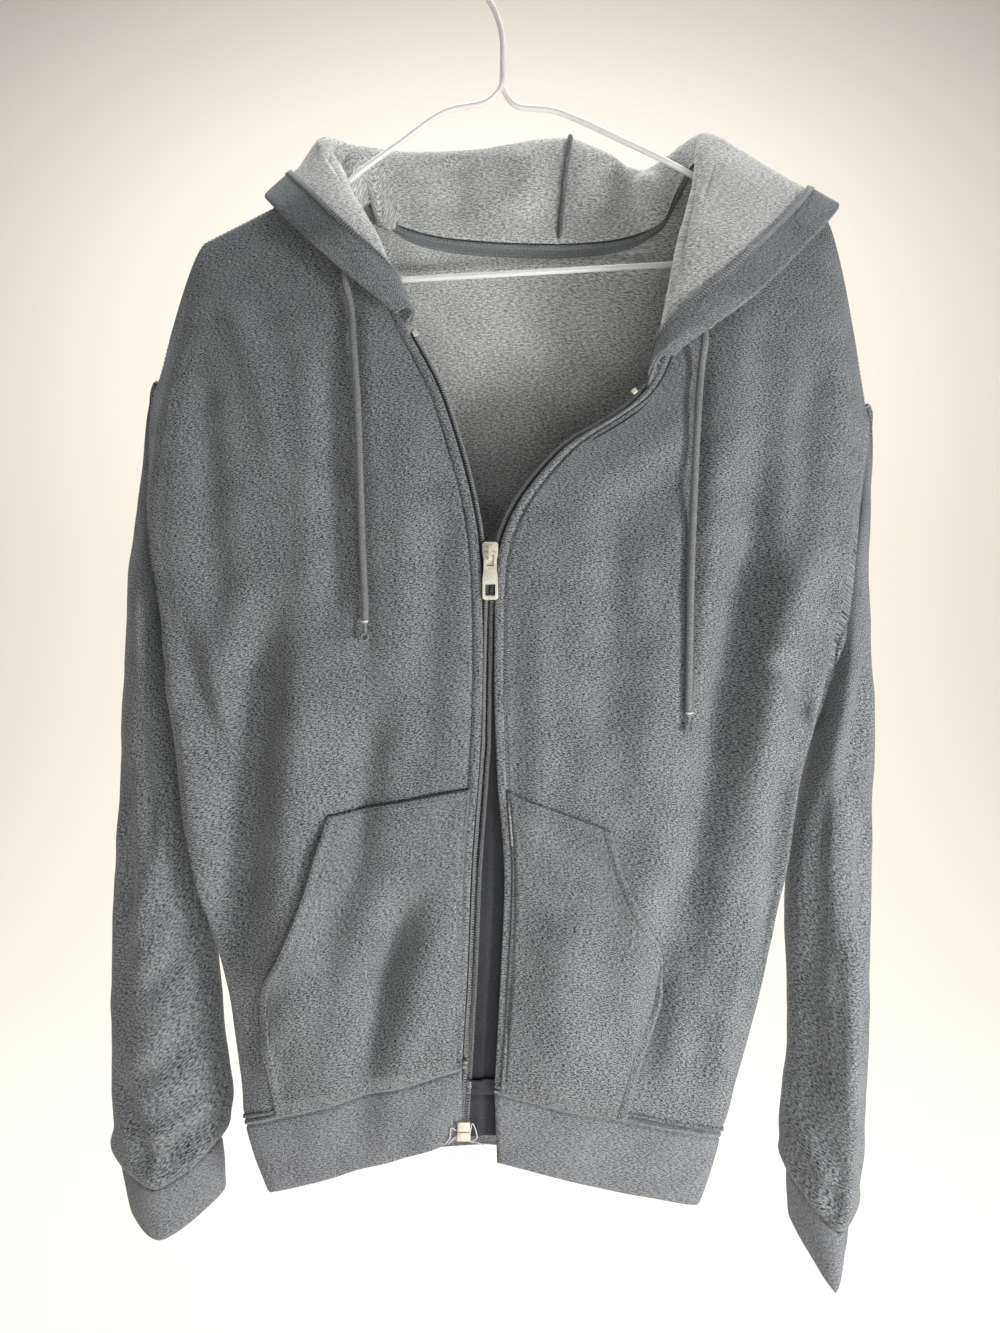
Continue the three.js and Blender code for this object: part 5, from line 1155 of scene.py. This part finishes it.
zipRuns = {}
for side in ("left", "right"):
    panel, rib = pieces["front_panel_" + side], pieces["hem_band"]
    column = 0 if side == "left" else -1
    lastRow = int(np.searchsorted(frontRows, 7.02))
    edge = np.concatenate([rib["points"][::-1, column][:-1], panel["points"][1:lastRow, 0]])
    facing = np.concatenate([rib["normals"][::-1, column][:-1], panel["normals"][1:lastRow, 0]])
    kept = edge[:, 2] > zipper["foot"]
    edge, facing = edge[kept], facing[kept]
    edge = smoothRun(edge[::3], 260)
    facing = unit(atPlaces(np.linspace(0, 1, 260), np.linspace(0, 1, len(facing)), facing))
    kernel = np.ones(15) / 15
    padded = np.pad(facing, ((7, 7), (0, 0)), mode="edge")
    facing = unit(np.stack([np.convolve(padded[:, axis], kernel, "valid") for axis in range(3)], -1))
    along = unit(np.gradient(edge, axis=0))
    facing = unit(facing - along * (facing * along).sum(-1, keepdims=True))
    across = unit(np.cross(along, facing))
    across *= np.where((across[:, :1] > 0) == (side == "left"), 1, -1)
    closed = np.abs(chainCentre(edge[:, 2]) - edge[:, 0]) / np.abs(across[:, 0]) - 0.1
    opening = np.clip((edge[:, 2] - zipper["opens"][0]) / (zipper["opens"][1] - zipper["opens"][0]), 0, 1)
    opening = opening * opening * (3 - 2 * opening)
    reach = closed + (zipper["openReach"] - closed) * opening
    zipRuns[side] = {"edge": edge, "along": along, "out": facing, "across": across, "reach": reach}
    shares = np.linspace(0, 1, 25)[None, :, None]
    span = -zipper["hidden"] + (reach[:, None, None] - 0.9 + zipper["hidden"]) * shares
    fold = 1.6 / (1 + np.exp((shares - 0.62) * 40)) * np.clip((reach - 6) / 6, 0, 1)[:, None, None]
    strip = edge[:, None] + across[:, None] * span - facing[:, None] * (zipper["tapeDepth"] + fold)
    piece = cloth("zip_ribbon_" + side, strip, gridNormals(strip), zipper["tapeWall"], ("zipTape",), flip=side == "right",
                  nodes=("zip_tape_" + side,))
    middle = edge + across * (reach - zipper["coilWidth"] / 2)[:, None] - facing * zipper["coilDepth"]
    run = runLength(middle)
    turns = run[-1] / zipper["pitch"]
    count = int(turns * 9)
    places = np.linspace(0, run[-1], count)
    angle = places / zipper["pitch"] * 2 * math.pi + (0 if side == "left" else math.pi)
    flat = np.sign(np.cos(angle)) * np.abs(np.cos(angle)) ** 0.7
    helix = atPlaces(places, run, middle) + atPlaces(places, run, across) * (flat * (zipper["coilWidth"] - 0.8) / 2)[:, None]
    helix = helix + atPlaces(places, run, facing) * (np.sin(angle) * (zipper["coilHeight"] - 0.8) / 2)[:, None]
    piece = roundRun("zip_coil_" + side, helix, zipper["wire"], "coil", 5)
    placeRun(piece)
print("zip made")


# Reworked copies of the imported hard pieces, with their corners rounded
def roundedCopy(name, node, look, width, body="garment", segments=3):
    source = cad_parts[node]
    mesh = source.data.copy()
    mesh.name = name
    bm = bmesh.new()
    bm.from_mesh(mesh)
    bmesh.ops.remove_doubles(bm, verts=bm.verts, dist=1e-6)
    bmesh.ops.dissolve_limit(bm, angle_limit=math.radians(1), verts=bm.verts, edges=bm.edges)
    edges = [edge for edge in bm.edges if edge.is_manifold and edge.calc_face_angle(0) > math.radians(28)]
    bmesh.ops.bevel(bm, geom=edges, offset=width * mm, affect="EDGES", segments=segments, profile=0.5, material=-1, clamp_overlap=True)
    bm.to_mesh(mesh)
    bm.free()
    mesh.materials.clear()
    mesh.materials.append(finishes[look])
    mesh.shade_smooth()
    piece = newPiece(name, mesh)
    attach(piece, body)
    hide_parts(node)
    return piece


roundedCopy("slider_body", "zip_slider", "enamel", 0.35)
roundedCopy("slider_tab", "pull_tab", "enamel", 0.35, body="pull_tab")
roundedCopy("top_stop_block_left", "top_stop_left", "enamel", 0.4)
roundedCopy("top_stop_block_right", "top_stop_right", "enamel", 0.4)
for side in ("left", "right"):
    roundedCopy("eyelet_ring_" + side, "eyelet_" + side, "eyelet", 0.1, segments=1)


# A block with rounded corners between two corners in millimetres
def roundedBlock(bm, low, high, width):
    low, high = np.asarray(low, float) * mm, np.asarray(high, float) * mm
    made = bmesh.ops.create_cube(bm, size=1, matrix=Matrix.Translation((low + high) / 2) @ Matrix.Diagonal((*(high - low), 1)))
    edges = list({edge for vert in made["verts"] for edge in vert.link_edges})
    bmesh.ops.bevel(bm, geom=edges, offset=width * mm, affect="EDGES", segments=2, profile=0.5)


for side, (x, y, z) in cordEnds.items():
    bar = roundRun("cord_bar_" + side, [(x - 2.6, y - 2.4, z), (x, y - 2.9, z - 0.2), (x + 2.6, y - 2.4, z)], 0.75, "paleThread", 8)
    placeRun(bar)
    angle = np.linspace(0, 2 * math.pi, 25)
    loop = np.stack([x + 2.3 * np.cos(angle), y - 1.4 + 0.6 * np.sin(angle), z - 11 + 2.6 * np.sin(angle)], -1)
    placeRun(roundRun("cord_loop_" + side, loop, 1.0, "braid", 8))
box = np.array([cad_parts["zip_box"].matrix_world @ vert.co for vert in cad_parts["zip_box"].data.vertices]) / mm
low, high = box.min(0), box.max(0)
split = low[2] + (high[2] - low[2]) * 0.48
bm = bmesh.new()
roundedBlock(bm, low + (0, -0.1, 0), (high[0], high[1], split - 0.25), 0.5)
roundedBlock(bm, (low[0] + 0.3, low[1] - 0.1, split + 0.25), (high[0] - 0.2, high[1], high[2]), 0.5)
blocks = finishRows(bm, "foot_box", "enamel")
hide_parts("zip_box")
threads = [
    [(-1, 0, 1), (-4, -0.6, 3), (-5, 0, -4), (-8, -0.8, -8)], [(0, 0, -3), (-3, -0.8, -5), (-6, 0, -9)],
    [(9, 0, -2), (11, -0.4, 6), (14, 0, -5), (9, -0.5, -7)], [(9, 0, -7), (16, -0.8, -8), (21, 0, -12)],
]
for index, path in enumerate(threads):
    spots = np.array(path, float) + (low[0], low[1] + 1.2, split)
    placeRun(roundRun("foot_thread_" + str(index), smoothRun(spots, 24), 0.38, "paleThread", 6))
print("metal made")


# Floor and light
stage = {"floor": -1.30, "depth": 1.4, "bend": 1.2}
bm = bmesh.new()
bmesh.ops.create_grid(bm, x_segments=2, y_segments=90, size=6)
for vert in bm.verts:
    past = vert.co.y - stage["depth"]
    turn = min(max(past / stage["bend"], 0), math.pi / 2)
    vert.co.z = stage["floor"]
    if past > 0:
        climb = max(0, past - stage["bend"] * math.pi / 2)
        vert.co.y = stage["depth"] + stage["bend"] * math.sin(turn)
        vert.co.z += stage["bend"] * (1 - math.cos(turn)) + climb
mesh = bpy.data.meshes.new("floor")
bm.to_mesh(mesh)
bm.free()
mesh.shade_smooth()
floor = bpy.data.objects.new("floor", mesh)
bpy.context.collection.objects.link(floor)
floorMaterial, nodes, links, shader = newMaterial("floor")
shader.inputs["Base Color"].default_value = linear((246, 240, 230))
shader.inputs["Roughness"].default_value = 0.9
mesh.materials.append(floorMaterial)


def areaLight(name, place, target, size, power):
    data = bpy.data.lights.new(name, "AREA")
    data.shape = "RECTANGLE"
    data.size, data.size_y = size
    data.energy = power
    light = bpy.data.objects.new(name, data)
    light.location = place
    light.rotation_euler = (Vector(target) - Vector(place)).to_track_quat("-Z", "Y").to_euler()
    bpy.context.collection.objects.link(light)


areaLight("key", (1.10, -0.80, -0.90), (0, 0, -0.65), (0.35, 0.35), 13)
areaLight("low", (0.25, -0.90, -0.92), (0, 0, -0.80), (1.0, 0.12), 3.4)
areaLight("fill", (-1.2, -1.3, -0.3), (0, 0, -0.6), (1.2, 1.2), 0.8)
areaLight("behind", (0.0, 0.5, 1.4), (0, 1.4, -0.5), (2.4, 1.0), 84)
world = bpy.data.worlds.new("world")
world.use_nodes = True
world.node_tree.nodes["Background"].inputs["Color"].default_value = (1, 1, 1, 1)
world.node_tree.nodes["Background"].inputs["Strength"].default_value = 0.13
bpy.context.scene.world = world
bpy.context.scene.view_settings.view_transform = "Standard"
